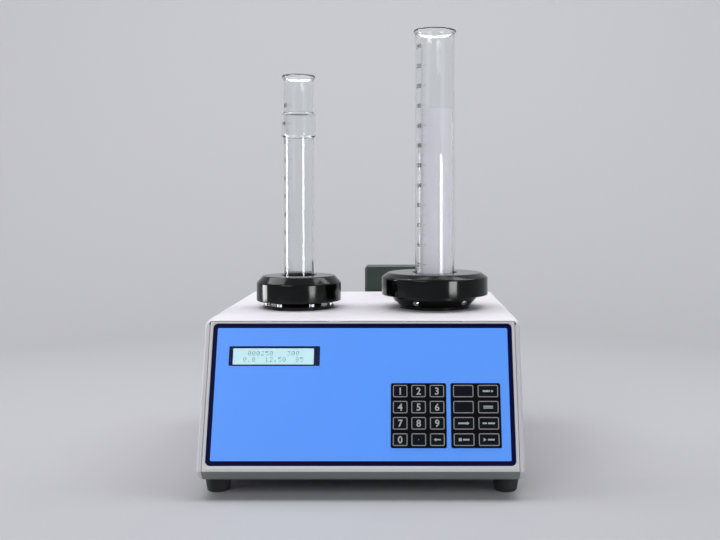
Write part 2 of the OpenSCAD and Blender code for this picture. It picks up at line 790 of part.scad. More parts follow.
// Solid of the supply box, moved in by d
module supply_block(d) {
  h = supply_top - supply_z;
  intersection() {
    translate([supply_x, supply_y + supply_d / 2, supply_z - 1]) linear_extrude(h + 2)
      polygon(round_rect(supply_w - 2 * d, supply_d - 2 * d, 3));
    on_rear(supply_x, supply_y - 1, supply_z + h / 2) linear_extrude(supply_d + 2)
      polygon(round_rect(supply_w - 2 * d, h - 2 * d, 3));
  }
}

module supply_box() {
  color("#2b302e") difference() {
    supply_block(0);
    supply_block(supply_wall);
    on_rear(supply_x, supply_y, inlet_z) translate([0, 0, -1])
      cylinder(d = cable_hole_d, h = supply_wall + 2);
    on_rear(supply_x, rear_y, inlet_z) translate([0, 0, -supply_wall - 1])
      linear_extrude(supply_wall + 2)
        polygon(round_rect(inlet_body_w + 2 * slip_gap, inlet_body_h + 2 * slip_gap, 2));
    on_rear(supply_x, rear_y, switch_z) translate([0, 0, -supply_wall - 1])
      linear_extrude(supply_wall + 2)
        polygon(round_rect(switch_body_w + 2 * slip_gap, switch_body_h + 2 * slip_gap, 1));
  }
}

// Mouth of the inlet, with its two upper corners cut off
function inlet_mouth() =
  let (x = inlet_mouth_w / 2, y = inlet_mouth_h / 2, cut = 4.2)
  [[-x, -y], [x, -y], [x, y - cut], [x - cut, y], [-x + cut, y], [-x, y - cut]];

// Three-pin inlet. Its blades end well inside the mouth
module mains_inlet() {
  color("#17181a") on_rear(supply_x, rear_y, inlet_z) {
    difference() {
      union() {
        linear_extrude(inlet_flange_t) polygon(round_rect(inlet_w, inlet_h, 4));
        translate([0, 0, -inlet_depth]) linear_extrude(inlet_depth + 0.5)
          polygon(round_rect(inlet_body_w, inlet_body_h, 2));
      }
      translate([0, 0, -inlet_mouth_depth]) linear_extrude(30) polygon(inlet_mouth());
      for (x = [-1, 1])
        translate([x * (inlet_w / 2 - 5), 0, -1])
          cylinder(d = 3.4, h = inlet_flange_t + 2, $fn = 24);
    }
    for (p = [[-7, -2.5], [7, -2.5], [0, 2.5]])
      translate([p[0] - 1, p[1] - 2, -inlet_mouth_depth - 0.5]) cube([2, 4, 10.5]);
  }
}

module switch_frame() {
  color("#17181a") on_rear(supply_x, rear_y, switch_z) difference() {
    union() {
      linear_extrude(2) polygon(round_rect(switch_w, switch_h, 1.5));
      translate([0, 0, -12]) linear_extrude(12.5)
        polygon(round_rect(switch_body_w, switch_body_h, 1));
    }
    translate([0, 0, -9]) linear_extrude(20)
      polygon(round_rect(rocker_w + 2 * slip_gap, switch_body_h - 1.8, 0.5));
    translate([-10, 0, -1]) rotate([0, 90, 0]) cylinder(d = rocker_pin_d + 2 * run_gap, h = 20);
  }
}

// Rocker that turns on its own axle
module mains_rocker() {
  pin_l = switch_body_w - 0.2;
  color("#20211f") on_rear(supply_x, rear_y, switch_z) translate([0, 0, -1]) rotate([rocker_tilt, 0, 0]) {
    along_x(-rocker_w / 2, rocker_w) polygon([
      [-8.9, 2.6], [0, 1.9], [8.9, 2.6], [8.3, -2], [3, -5], [-3, -5], [-8.3, -2]
    ]);
    translate([-pin_l / 2, 0, 0]) rotate([0, 90, 0]) cylinder(d = rocker_pin_d, h = pin_l);
  }
}

module serial_port() {
  color("#b7bbc0") on_rear(port_x, supply_y, port_z) difference() {
    union() {
      linear_extrude(1.2) polygon(round_rect(31, 12.6, 1.5));
      linear_extrude(6.5) polygon([
        [-8.4, -3.4], [-7.4, -4.2], [7.4, -4.2], [8.4, -3.4], [9, 3.4], [8, 4.2], [-8, 4.2], [-9, 3.4]
      ]);
      translate([0, 0, -9]) linear_extrude(9.5) polygon(round_rect(18, 9, 1));
      for (x = [-12.5, 12.5])
        translate([x, 0, 0]) cylinder(d = 5.4, h = 5.5, $fn = 6);
    }
    for (i = [0:8])
      translate([i < 5 ? (i - 2) * 2.76 : (i - 6.5) * 2.76, i < 5 ? 1.4 : -1.4, 2.5])
        cylinder(d = 1.1, h = 6, $fn = 24);
  }
}

// Outline of an upright frame plate about a shaft at (y, z), as (y, z)
function cheek(y, half, top) = [
  [y - half, floor_top], [y + half, floor_top], [y + half, cam_z + top - half / 2],
  [y + half / 2, cam_z + top], [y - half / 2, cam_z + top], [y - half, cam_z + top - half / 2]
];

// Base plate with two bearing cheeks and the motor's cheek, slotted under the gear and the cams
module drive_frame() {
  cheek_half = bearing_d / 2 + 6;
  turning = [[0, gear_w], [left_x, cam_t], [right_x, cam_t]];
  color("#9aa0a6") difference() {
    union() {
      translate([-bearing_x - base_side, base_y0, floor_top])
        cube([2 * (bearing_x + base_side), base_y1 - base_y0, frame_t]);
      for (x = [-1, 1])
        along_x(x * bearing_x - bearing_w / 2, bearing_w)
          polygon(cheek(station_y, cheek_half, cheek_half));
      along_x(motor_face - frame_t, frame_t) polygon(cheek(motor_y, motor_half, motor_half));
    }
    for (x = [-1, 1])
      translate([x * bearing_x - bearing_w, station_y, cam_z]) rotate([0, 90, 0])
        cylinder(d = bearing_d + 2 * run_gap, h = 2 * bearing_w);
    translate([motor_face - frame_t - 1, motor_y, cam_z]) rotate([0, 90, 0])
      cylinder(d = motor_boss_d + 2 * run_gap, h = frame_t + 2);
    for (p = turning)
      translate([p[0] - p[1] / 2 - slot_room, station_y - slot_half, floor_top - 1])
        cube([p[1] + 2 * slot_room, 2 * slot_half, frame_t + 2]);
  }
}

module shaft_bearings() {
  color("#c3c6cb")
    for (x = [-1, 1])
      translate([x * bearing_x, station_y, cam_z]) rotate([0, 90, 0]) rotate_extrude() polygon([
        [journal_d / 2 + run_gap, -bearing_w / 2], [bearing_d / 2 - 4, -bearing_w / 2],
        [bearing_d / 2 - 4, -bearing_w / 2 + 0.8], [bearing_d / 2 - 2.5, -bearing_w / 2 + 0.8],
        [bearing_d / 2 - 2.5, -bearing_w / 2], [bearing_d / 2, -bearing_w / 2],
        [bearing_d / 2, bearing_w / 2], [journal_d / 2 + run_gap, bearing_w / 2]
      ]);
}

module camshaft() {
  body_l = 2 * bearing_x - bearing_w - 2 * slip_gap;
  color("#b4b8bd") translate([0, station_y, cam_z]) rotate([0, 90, 0]) {
    cylinder(d = shaft_d, h = body_l, center = true);
    cylinder(d = journal_d, h = 2 * bearing_x + bearing_w + 6, center = true);
  }
}

// Drop cams at both stations, in step with each other
module lift_cams() {
  reach = cam_t + hub_l;
  color("#8f949a")
    for (x = [left_x, right_x])
      difference() {
        translate([0, station_y, cam_z]) {
          along_x(x - cam_t / 2, cam_t) polygon(cam_outline());
          translate([x > 0 ? x + cam_t / 2 - 1 : x - cam_t / 2 - hub_l, 0, 0]) rotate([0, 90, 0])
            cylinder(d = shaft_d + 2 * hub_wall, h = hub_l + 1);
        }
        translate([x - reach, station_y, cam_z]) rotate([0, 90, 0])
          cylinder(d = shaft_d + 2 * run_gap, h = 2 * reach);
      }
}

module drive_gear() {
  reach = gear_w + hub_l;
  color("#a58a4a") difference() {
    translate([0, station_y, cam_z]) {
      along_x(-gear_w / 2, gear_w) polygon(gear_outline(gear_teeth, gear_module));
      translate([-gear_w / 2 - hub_l, 0, 0]) rotate([0, 90, 0])
        cylinder(d = shaft_d + 2 * hub_wall, h = hub_l + 1);
    }
    translate([-reach, station_y, cam_z]) rotate([0, 90, 0])
      cylinder(d = shaft_d + 2 * run_gap, h = 2 * reach);
    for (a = [0:60:300])
      translate([-gear_w, station_y, cam_z]) rotate([a, 0, 0]) translate([0, gear_r * 0.68, 0])
        rotate([0, 90, 0]) cylinder(d = gear_r * 0.26, h = 2 * gear_w, $fn = 32);
  }
}

// Gearhead, motor can and the boss that centres it in its cheek
module gear_motor() {
  color("#6f757c") translate([motor_face, motor_y, cam_z]) rotate([0, 90, 0]) difference() {
    union() {
      cylinder(d = motor_d, h = motor_head_l);
      translate([0, 0, motor_head_l - 1]) cylinder(d = motor_d - 3, h = motor_can_l + 1);
      translate([0, 0, -frame_t + 0.5]) cylinder(d = motor_boss_d, h = frame_t);
    }
    translate([0, 0, -frame_t - 1]) cylinder(d = motor_shaft_d + 2 * run_gap, h = frame_t + 15);
  }
}

// Pinion in one with the motor's output shaft, a gap facing a tooth of the gear
module motor_pinion() {
  half_tooth = pinion_teeth % 2 == 0 ? 180 / pinion_teeth : 0;
  shaft_x0 = -gear_w / 2 - 3;
  shaft_x1 = motor_face + 10;
  color("#b9a15c") translate([0, motor_y, cam_z]) {
    along_x(-gear_w / 2 - 1, gear_w + 2)
      rotate([0, 0, half_tooth]) polygon(gear_outline(pinion_teeth, gear_module));
    translate([shaft_x0, 0, 0]) rotate([0, 90, 0]) cylinder(d = motor_shaft_d, h = shaft_x1 - shaft_x0);
  }
}

// Flanged housing that guides a spindle through the deck
module guide_housing(x, side) {
  color("#1a1b1d") difference() {
    translate([x, station_y, 0]) {
      translate([0, 0, housing_z]) cylinder(d = housing_d, h = housing_drop + 1);
      rotate_extrude() polygon([
        [0, deck_z], [flange_d / 2, deck_z], [flange_d / 2, deck_z + flange_t - 0.6],
        [flange_d / 2 - 0.6, deck_z + flange_t], [0, deck_z + flange_t]
      ]);
    }
    translate([x, station_y, housing_z - 1])
      cylinder(d = spindle_d + 2 * run_gap, h = housing_drop + flange_t + 2);
    translate([x + side * pin_offset, station_y, housing_z - 1])
      cylinder(d = pin_d + 2 * run_gap, h = pin_seat + 1, $fn = 32);
    at_flange_screws() translate([0, 0, deck_z - 1])
      cylinder(d = flange_hole_d, h = flange_t + 2, $fn = 24);
  }
}

module left_guide_housing() {
  guide_housing(left_x, 1);
}

module right_guide_housing() {
  guide_housing(right_x, -1);
}

// Pins that hang from the housings and pass through the shoes
module guide_pins() {
  color("#c8ccd1")
    for (s = [[left_x, 1], [right_x, -1]])
      translate([s[0] + s[1] * pin_offset, station_y, pin_z])
        cylinder(d = pin_d, h = housing_z + pin_seat - 1 - pin_z, $fn = 32);
}

module flange_screws() {
  color("#d5d8dc") at_flange_screws() translate([0, 0, deck_z + flange_t]) difference() {
    union() {
      rotate_extrude($fn = 32) polygon([
        [0, 0], [screw_head_d / 2, 0], [screw_head_d / 2, screw_head_h - 0.5],
        [screw_head_d / 2 - 0.5, screw_head_h], [0, screw_head_h]
      ]);
      translate([0, 0, -flange_t - sheet_t - 5])
        cylinder(d = flange_bolt_d, h = flange_t + sheet_t + 6, $fn = 24);
    }
    translate([0, 0, screw_head_h - 1.6]) cylinder(d = 2.9, h = 3, $fn = 6);
  }
}

// Spindle with its spigot on top and a shoe below that the guide pin keeps square
module lift_spindle(x, side, top) {
  color("#c1c5ca") translate([x, station_y, 0]) difference() {
    union() {
      translate([0, 0, shoe_top - 1]) cylinder(d = spindle_d, h = rest_z - shoe_top + 1);
      translate([0, 0, rest_z - 1]) cylinder(d = spigot_d, h = top - 1.5 - rest_z + 1);
      translate([side * pin_offset / 2, 0, shoe_z]) linear_extrude(shoe_t)
        polygon(round_rect(pin_offset + 2 * shoe_tail, shoe_w, 4));
    }
    translate([side * pin_offset, 0, shoe_z - 1])
      cylinder(d = pin_d + 4 * run_gap, h = shoe_t + 2, $fn = 32);
  }
}

module left_spindle() {
  lift_spindle(left_x, 1, small_plate_top);
}

module right_spindle() {
  lift_spindle(right_x, -1, large_plate_top);
}

// Platform of the small holder, a hub under a disc
module small_platform() {
  color("#161719") translate([left_x, station_y, 0]) rotate_extrude() polygon([
    [spigot_d / 2 + run_gap, rest_z], [hub_d / 2, rest_z], [hub_d / 2, small_ring_z],
    [small_plate_d / 2, small_ring_z], [small_plate_d / 2, small_plate_top - 0.6],
    [small_plate_d / 2 - 0.6, small_plate_top], [spigot_d / 2 + run_gap, small_plate_top]
  ]);
}

// Platform of the large holder. Its skirt covers the flange screws and flares up to the ring
module large_platform() {
  well_z = rest_z + screw_head_h + 0.8;
  color("#161719") difference() {
    translate([right_x, station_y, 0]) rotate_extrude() polygon([
      [spigot_d / 2 + run_gap, rest_z], [hub_d / 2, rest_z], [hub_d / 2, well_z],
      [well_d / 2, well_z], [well_d / 2, cone_z], [large_base_d / 2, cone_z],
      [large_plate_d / 2, cone_z + cone_h], [large_plate_d / 2, large_plate_top - 0.6],
      [large_plate_d / 2 - 0.6, large_plate_top], [spigot_d / 2 + run_gap, large_plate_top]
    ]);
    at_platform_screws() translate([0, 0, -cone_bolt_l])
      cylinder(d = cone_bolt_d + 2 * run_gap, h = cone_bolt_l + 4, $fn = 24);
  }
}

// Frames at the large platform's screws, z pointing out of the flare
module at_platform_screws() {
  for (i = [0:platform_screws - 1])
    translate([right_x, station_y, cone_screw_z])
      rotate([0, 0, platform_screw_turn + i * 360 / platform_screws])
        translate([cone_screw_r, 0, 0]) rotate([0, 90 + cone_lean, 0]) children();
}

module large_platform_screws() {
  color("#d5d8dc") at_platform_screws() {
    translate([0, 0, seat_gap])
      cylinder(d1 = cone_head_d, d2 = cone_head_d - 1.2, h = cone_head_h, $fn = 32);
    translate([0, 0, 0.5 - cone_bolt_l])
      cylinder(d = cone_bolt_d, h = cone_bolt_l + seat_gap, $fn = 24);
  }
}

// Clamp ring with a bevelled top, a bore over the platform and a hole for the glass
module clamp_ring(x, d, z0, h, bevel_h, bore_d, hole_d) {
  z1 = z0 + h;
  cap_z = z1 - cap_t;
  color("#141517") translate([x, station_y, 0]) rotate_extrude() polygon([
    [bore_d / 2, z0], [d / 2 - 0.8, z0], [d / 2, z0 + 0.8], [d / 2, z1 - bevel_h], [d / 2 - bevel_w, z1],
    [hole_d / 2 + 1, z1], [hole_d / 2, z1 - 1], [hole_d / 2, cap_z], [bore_d / 2, cap_z]
  ]);
}

module small_clamp_ring() {
  clamp_ring(left_x, small_ring_d, small_ring_z, small_ring_h, small_bevel_h,
    small_plate_d + 2 * run_gap, small_od + 2 * ring_room);
}

module large_clamp_ring() {
  clamp_ring(right_x, large_ring_d, large_ring_z, large_ring_h, large_bevel_h,
    large_plate_d + 2 * run_gap, large_od + 2 * ring_room);
}

// Measuring cylinder with a foot, a beaded rim, a pouring lip and, where band_t is set, a guard band
module glass_cylinder(x, od, foot_d, z0, rim_z, band_t) {
  inner_r = od / 2 - glass_t;
  floor_in = z0 + glass_floor_t;
  foot_z = z0 + glass_foot_t;
  lip_r = od * 0.2;
  band_z = rim_z - guard_drop;
  color("#dfe9ec", 0.45) translate([x, station_y, 0]) rotate([0, 0, lip_turn]) difference() {
    union() {
      rotate_extrude() polygon([
        [0, z0], [foot_d / 2 - 0.8, z0], [foot_d / 2, z0 + 0.8], [foot_d / 2, foot_z - 1.2],
        [foot_d / 2 - 1.2, foot_z], [od / 2 + 2, foot_z], [od / 2, foot_z + 3],
        [od / 2, rim_z - 4.5], [od / 2 + rim_bead, rim_z - 2.4], [od / 2 + rim_bead, rim_z - 0.8],
        [od / 2 + rim_bead - 0.8, rim_z], [0, rim_z]
      ]);
      if (band_t > 0) translate([0, 0, band_z]) rotate_extrude() polygon([
        [od / 2 - glass_t / 2, -guard_h], [od / 2, -guard_h], [od / 2 + band_t, guard_slope - guard_h],
        [od / 2 + band_t, -guard_slope], [od / 2, 0], [od / 2 - glass_t / 2, 0]
      ]);
      intersection() {
        translate([od / 2 - lip_r * 0.45, 0, rim_z]) rotate([0, 38, 0])
          cylinder(r = lip_r, h = 40, center = true);
        translate([0, -od, rim_z - 16]) cube([od, 2 * od, 16]);
      }
    }
    translate([0, 0, floor_in + 3]) cylinder(r = inner_r, h = rim_z);
    translate([0, 0, floor_in]) cylinder(r1 = inner_r - 3, r2 = inner_r, h = 3);
    translate([od / 2 - lip_r * 0.45, 0, rim_z]) rotate([0, 38, 0])
      translate([0, 0, -6]) cylinder(r = lip_r - glass_t * 0.8, h = 40);
  }
}

module small_cylinder() {
  glass_cylinder(left_x, small_od, small_foot_d, small_glass_z, deck_z + small_rim_h, guard_t);
}

module large_cylinder() {
  glass_cylinder(right_x, large_od, large_foot_d, large_glass_z, deck_z + large_rim_h, 0);
}

// Powder in the large cylinder, its top a little heaped
module powder_sample() {
  r = large_od / 2 - glass_t - 0.1;
  z0 = large_glass_z + glass_floor_t + 0.1;
  z1 = deck_z + powder_h;
  color("#f2f0f4") translate([right_x, station_y, 0]) rotate_extrude() polygon([
    [0, z0], [r - 3, z0], [r, z0 + 3], [r, z1 - 1.2], [r * 0.7, z1 - 0.5], [r * 0.35, z1], [0, z1 - 0.2]
  ]);
}

cover_shell();
front_bezel();
base_tray();
rear_panel();
rubber_feet();
case_screws();
panel_plate();
panel_overlay();
display_lens();
display_screen();
display_module();
keypad_frames();
control_board();
power_supply();
for (k = KEYS)
  key_cap(k);
supply_box();
mains_inlet();
switch_frame();
mains_rocker();
serial_port();
drive_frame();
shaft_bearings();
camshaft();
lift_cams();
drive_gear();
gear_motor();
motor_pinion();
left_guide_housing();
right_guide_housing();
guide_pins();
flange_screws();
left_spindle();
right_spindle();
small_platform();
large_platform();
large_platform_screws();
small_clamp_ring();
large_clamp_ring();
small_cylinder();
large_cylinder();
powder_sample();
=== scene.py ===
import json
import math
import bmesh
import bpy
import numpy as np
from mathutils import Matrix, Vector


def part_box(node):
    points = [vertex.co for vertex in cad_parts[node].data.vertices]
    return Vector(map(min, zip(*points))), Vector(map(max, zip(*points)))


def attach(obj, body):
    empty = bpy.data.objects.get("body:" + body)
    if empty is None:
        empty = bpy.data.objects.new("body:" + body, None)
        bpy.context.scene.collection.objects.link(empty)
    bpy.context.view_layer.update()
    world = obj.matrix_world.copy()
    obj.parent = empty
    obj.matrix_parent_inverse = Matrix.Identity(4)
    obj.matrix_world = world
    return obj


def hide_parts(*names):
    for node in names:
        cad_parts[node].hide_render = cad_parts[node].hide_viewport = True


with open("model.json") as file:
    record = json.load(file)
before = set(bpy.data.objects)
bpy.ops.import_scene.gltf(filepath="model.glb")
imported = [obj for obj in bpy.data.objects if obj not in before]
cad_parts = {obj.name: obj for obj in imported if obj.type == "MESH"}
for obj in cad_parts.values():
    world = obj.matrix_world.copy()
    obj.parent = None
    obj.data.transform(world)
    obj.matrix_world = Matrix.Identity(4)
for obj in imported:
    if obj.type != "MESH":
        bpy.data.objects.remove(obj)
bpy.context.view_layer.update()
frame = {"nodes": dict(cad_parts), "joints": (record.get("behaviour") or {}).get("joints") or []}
nodes = frame["nodes"]
mm = 0.001
print("stage 1: frame loaded,", len(nodes), "nodes")


# places and sizes, all read from the frame

def meshPoints(mesh):
    flat = np.empty(len(mesh.vertices) * 3, np.float32)
    mesh.vertices.foreach_get("co", flat)
    return flat.reshape(-1, 3).astype(float)


def nodePoints(name):
    return meshPoints(nodes[name].data)


def boxOf(name):
    low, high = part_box(name)
    return np.array(low), np.array(high)


jointOf = {j["name"]: j for j in frame["joints"]}
keyAxis = np.array(jointOf["key_1_press"]["axis"], float)
faceOut = -keyAxis / np.linalg.norm(keyAxis)              # straight out of the sloping face
faceUp = np.array([0.0, faceOut[2], -faceOut[1]])         # up the slope
faceLean = faceUp[1] / faceUp[2]                          # run back per unit of height


def onFace(flat, mid, level):
    # flat points laid on the sloping face: x across and y up the slope from mid, at a level out of it
    x, v, w = np.broadcast_arrays(flat[..., 0] + mid[0], flat[..., 1] + mid[1], level)
    across = np.array([1.0, 0.0, 0.0])
    return x[..., None] * across + v[..., None] * faceUp + w[..., None] * faceOut


def midOf(name):
    low, high = boxOf(name)
    return (low + high) / 2


def faceBox(name):
    p = nodePoints(name)
    q = np.stack([p[:, 0], p @ faceUp, p @ faceOut], 1)
    return q.min(0), q.max(0)


# surfaces as grids of points

def gridFaces(rows, cols, closeRows=False, closeCols=False):
    r = np.arange(rows if closeRows else rows - 1)[:, None]
    c = np.arange(cols if closeCols else cols - 1)[None, :]
    r2 = (r + 1) % rows
    c2 = (c + 1) % cols
    return np.stack([r * cols + c, r * cols + c2, r2 * cols + c2, r2 * cols + c], -1).reshape(-1, 4)


def gridPart(grid, closeRows=False, closeCols=True):
    # a grid of points and the faces between them
    return grid, gridFaces(*grid.shape[:2], closeRows, closeCols).tolist()


def softProfile(points, reach, steps=5, closed=False):
    # each corner becomes a short parabola that starts and ends at its reach along both sides
    p = np.array(points, float)
    reach = np.broadcast_to(np.array(reach, float), len(p)).copy()
    if not closed:
        reach[[0, -1]] = 0
    toPrev = np.roll(p, 1, 0) - p
    toNext = np.roll(p, -1, 0) - p
    toPrev /= np.maximum(np.linalg.norm(toPrev, axis=1, keepdims=True), 1e-12)
    toNext /= np.maximum(np.linalg.norm(toNext, axis=1, keepdims=True), 1e-12)
    s = np.linspace(0, 1, steps + 1)[None, :, None]
    start = (p + toPrev * reach[:, None])[:, None, :]
    end = (p + toNext * reach[:, None])[:, None, :]
    curve = (1 - s) ** 2 * start + 2 * s * (1 - s) * p[:, None, :] + s ** 2 * end
    flat = curve.reshape(-1, 2)
    return flat if closed else flat[steps:len(flat) - steps]


def latheGrid(profile, centre, steps):
    # a profile of (radius, height) carried round an upright axis
    a = np.linspace(0, 2 * math.pi, steps, endpoint=False)
    r, z = profile[:, 0:1], profile[:, 1:2]
    return np.stack([centre[0] + r * np.cos(a), centre[1] + r * np.sin(a), z + 0 * a], -1)


def roundRect(width, height, radius, steps=6):
    # four quarter arcs, one after the other, anticlockwise
    a = np.linspace(0, math.pi / 2, steps + 1)
    turn = (np.arange(4) * math.pi / 2)[:, None] + a
    sideX = np.array([1, -1, -1, 1])[:, None]
    sideY = np.array([1, 1, -1, -1])[:, None]
    x = sideX * (width / 2 - radius) + radius * np.cos(turn)
    y = sideY * (height / 2 - radius) + radius * np.sin(turn)
    return np.stack([x.ravel(), y.ravel()], 1)


def plateLoops(width, height, radius, rows, least=0.0002):
    # one rounded rectangle for each row of (inset, height above the base plane)
    insets, lifts = np.array(rows, float).T
    loops = [roundRect(width - 2 * d, height - 2 * d, max(radius - d, least)) for d in insets]
    grid = np.array(loops)
    return np.concatenate([grid, np.broadcast_to(lifts[:, None, None], grid.shape[:2] + (1,))], 2)


def joinParts(parts):
    points, faces, start = [], [], 0
    for grid, quads in parts:
        flat = np.asarray(grid).reshape(-1, 3)
        points.append(flat)
        faces += [[i + start for i in face] for face in quads]
        start += len(flat)
    return np.concatenate(points), faces


def addObject(name, data):
    made = bpy.data.objects.new(name, data)
    bpy.context.scene.collection.objects.link(made)
    return made


def makePiece(name, parts, material, body, replaced=(), solid=True, sharp=32):
    # parts are (points, faces) pairs. A solid piece has its poles merged and its faces turned outwards
    points, faces = joinParts(parts)
    mesh = bpy.data.meshes.new(name)
    mesh.from_pydata(points.tolist(), [], faces)
    if solid:
        bm = bmesh.new()
        bm.from_mesh(mesh)
        bmesh.ops.remove_doubles(bm, verts=bm.verts, dist=1e-7)
        bmesh.ops.recalc_face_normals(bm, faces=bm.faces)
        bm.to_mesh(mesh)
        bm.free()
    mesh.polygons.foreach_set("use_smooth", np.ones(len(mesh.polygons), bool))
    mesh.set_sharp_from_angle(angle=math.radians(sharp))
    piece = addObject(name, mesh)
    mesh.materials.append(material)
    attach(piece, body)
    if replaced:
        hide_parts(*replaced)
    return piece


def lathePart(profile, centre, closed, steps=160):
    return gridPart(latheGrid(profile, centre, steps), closed)


def platePart(loops):
    # a closed plate: its rows of loops, with a flat face over the first and the last
    rows, cols = loops.shape[:2]
    caps = [list(range(cols))[::-1], list(range((rows - 1) * cols, rows * cols))]
    return loops, gridPart(loops)[1] + caps


sizePerHeight = 1.37                                      # font size that makes a digit one unit high


def numberShape(text, height, bold):
    # filled outline of a plain number or point, centred on its own origin, as flat points and faces
    curve = bpy.data.curves.new("numberCurve", "FONT")
    curve.body = text
    curve.size = height * sizePerHeight
    curve.align_x = "CENTER"
    curve.offset = bold
    curve.resolution_u = 3
    holder = addObject("numberHolder", curve)
    shape = holder.evaluated_get(bpy.context.evaluated_depsgraph_get()).to_mesh()
    p = meshPoints(shape)[:, :2]
    faces = [list(f.vertices) for f in shape.polygons]
    bpy.data.objects.remove(holder)
    bpy.data.curves.remove(curve)
    p[:, 1] -= (p[:, 1].min() + p[:, 1].max()) / 2
    return p, faces


# shared effects, each built once as a node group

def feed(socket, value):
    # a socket takes the output of another node, or a plain value
    if isinstance(value, bpy.types.NodeSocket):
        socket.id_data.links.new(value, socket)
    else:
        socket.default_value = value


def setInputs(node, **values):
    for label, value in values.items():
        feed(node.inputs[label.replace("_", " ")], value)


def addNode(tree, kind, settings=None, **values):
    node = tree.nodes.new(kind)
    for key, value in (settings or {}).items():
        setattr(node, key, value)
    setInputs(node, **values)
    return node


def mathNode(tree, operation, first, second=0.0, clamp=False):
    node = addNode(tree, "ShaderNodeMath", {"operation": operation, "use_clamp": clamp})
    feed(node.inputs[0], first)
    feed(node.inputs[1], second)
    return node.outputs[0]


def newGroup(name, output, **inputs):
    # a group with a vector input, an input for each number or colour given, and one output
    group = bpy.data.node_groups.new(name, "ShaderNodeTree")
    group.interface.new_socket("Vector", in_out="INPUT", socket_type="NodeSocketVector")
    for label, value in inputs.items():
        kind = "NodeSocketFloat" if isinstance(value, float) else "NodeSocketColor"
        group.interface.new_socket(label, in_out="INPUT", socket_type=kind).default_value = value
    kind = "NodeSocketColor" if output == "Color" else "NodeSocketFloat"
    group.interface.new_socket(output, in_out="OUTPUT", socket_type=kind)
    return group, group.nodes.new("NodeGroupInput").outputs, group.nodes.new("NodeGroupOutput")


def noiseOf(tree, vector, scale, detail, roughness):
    node = addNode(tree, "ShaderNodeTexNoise", Vector=vector, Scale=scale, Detail=detail, Roughness=roughness)
    return node.outputs["Fac"]


def twoNoises(tree, take, finer, details, roughness):
    # seven parts of a broad noise and three parts of a finer one
    fineScale = mathNode(tree, "MULTIPLY", take["Scale"], finer)
    broad = noiseOf(tree, take["Vector"], take["Scale"], details[0], roughness)
    fine = noiseOf(tree, take["Vector"], fineScale, details[1], roughness)
    broadPart = mathNode(tree, "MULTIPLY", broad, 0.7)
    finePart = mathNode(tree, "MULTIPLY", fine, 0.3)
    return mathNode(tree, "ADD", broadPart, finePart)


def buildDrift():
    # colour drift: the base colour, made a little lighter and darker by two sizes of noise
    group, take, give = newGroup("colourDrift", "Color", Color=(0.5, 0.5, 0.5, 1), Amount=0.05, Scale=20.0)
    both = twoNoises(group, take, 9.0, (2.0, 4.0), 0.55)
    swing = mathNode(group, "MULTIPLY", mathNode(group, "SUBTRACT", both, 0.5), take["Amount"])
    level = mathNode(group, "ADD", mathNode(group, "MULTIPLY", swing, 2.0), 1.0)
    tint = addNode(group, "ShaderNodeVectorMath", {"operation": "SCALE"}, Vector=take["Color"], Scale=level)
    setInputs(give, Color=tint.outputs[0])
    return group


def buildSheen():
    # roughness that wanders between two values, as on a surface that has been handled and wiped
    group, take, give = newGroup("handledSheen", "Roughness", Low=0.3, High=0.45, Scale=30.0)
    smear = noiseOf(group, take["Vector"], take["Scale"], 5.0, 0.6)
    spread = addNode(group, "ShaderNodeMapRange", {"interpolation_type": "SMOOTHSTEP"}, Value=smear,
                     From_Min=0.32, From_Max=0.68, To_Min=take["Low"], To_Max=take["High"])
    setInputs(give, Roughness=spread.outputs["Result"])
    return group


def buildGrain():
    # fine grain: noise of one size with a finer one over it
    group, take, give = newGroup("fineGrain", "Height", Scale=900.0)
    setInputs(give, Height=twoNoises(group, take, 3.1, (2.0, 2.0), 0.5))
    return group


def buildTurned():
    # lathe marks: noise that depends only on height and on distance from the axis
    group, take, give = newGroup("turnedLines", "Height", Scale=2500.0)
    split = addNode(group, "ShaderNodeSeparateXYZ", Vector=take["Vector"])
    squareX = mathNode(group, "POWER", mathNode(group, "ABSOLUTE", split.outputs["X"]), 2.0)
    squareY = mathNode(group, "POWER", mathNode(group, "ABSOLUTE", split.outputs["Y"]), 2.0)
    away = mathNode(group, "SQRT", mathNode(group, "ADD", squareX, squareY))
    join = addNode(group, "ShaderNodeCombineXYZ", X=away, Y=split.outputs["Z"])
    setInputs(give, Height=noiseOf(group, join.outputs[0], take["Scale"], 3.0, 0.6))
    return group


def buildDust():
    # dust: a mask that gathers on faces that look up, broken by noise
    group, take, give = newGroup("lyingDust", "Mask", Amount=0.1)
    geometry = group.nodes.new("ShaderNodeNewGeometry")
    split = addNode(group, "ShaderNodeSeparateXYZ", Vector=geometry.outputs["Normal"])
    upward = mathNode(group, "POWER", mathNode(group, "MAXIMUM", split.outputs["Z"], 0.0), 3.0)
    patch = noiseOf(group, take["Vector"], 55.0, 6.0, 0.65)
    settled = mathNode(group, "MULTIPLY", upward, patch)
    setInputs(give, Mask=mathNode(group, "MULTIPLY", settled, take["Amount"], True))
    return group


groups = {"drift": buildDrift(), "sheen": buildSheen(), "grain": buildGrain(),
          "turned": buildTurned(), "dust": buildDust()}
print("stage 2: shared effects built")


def placeGroup(tree, key, **values):
    return addNode(tree, "ShaderNodeGroup", {"node_tree": groups[key]}, **values).outputs[0]


def linear(hexColour):
    # screen colour, as two hex digits a channel, to the linear colour that a shader takes
    c = np.array([int(hexColour[i:i + 2], 16) for i in (1, 3, 5)]) / 255
    low = c / 12.92
    high = ((c + 0.055) / 1.055) ** 2.4
    return tuple(np.where(c <= 0.04045, low, high)) + (1.0,)


looks = {}
dustColour = "#c9c6c0"


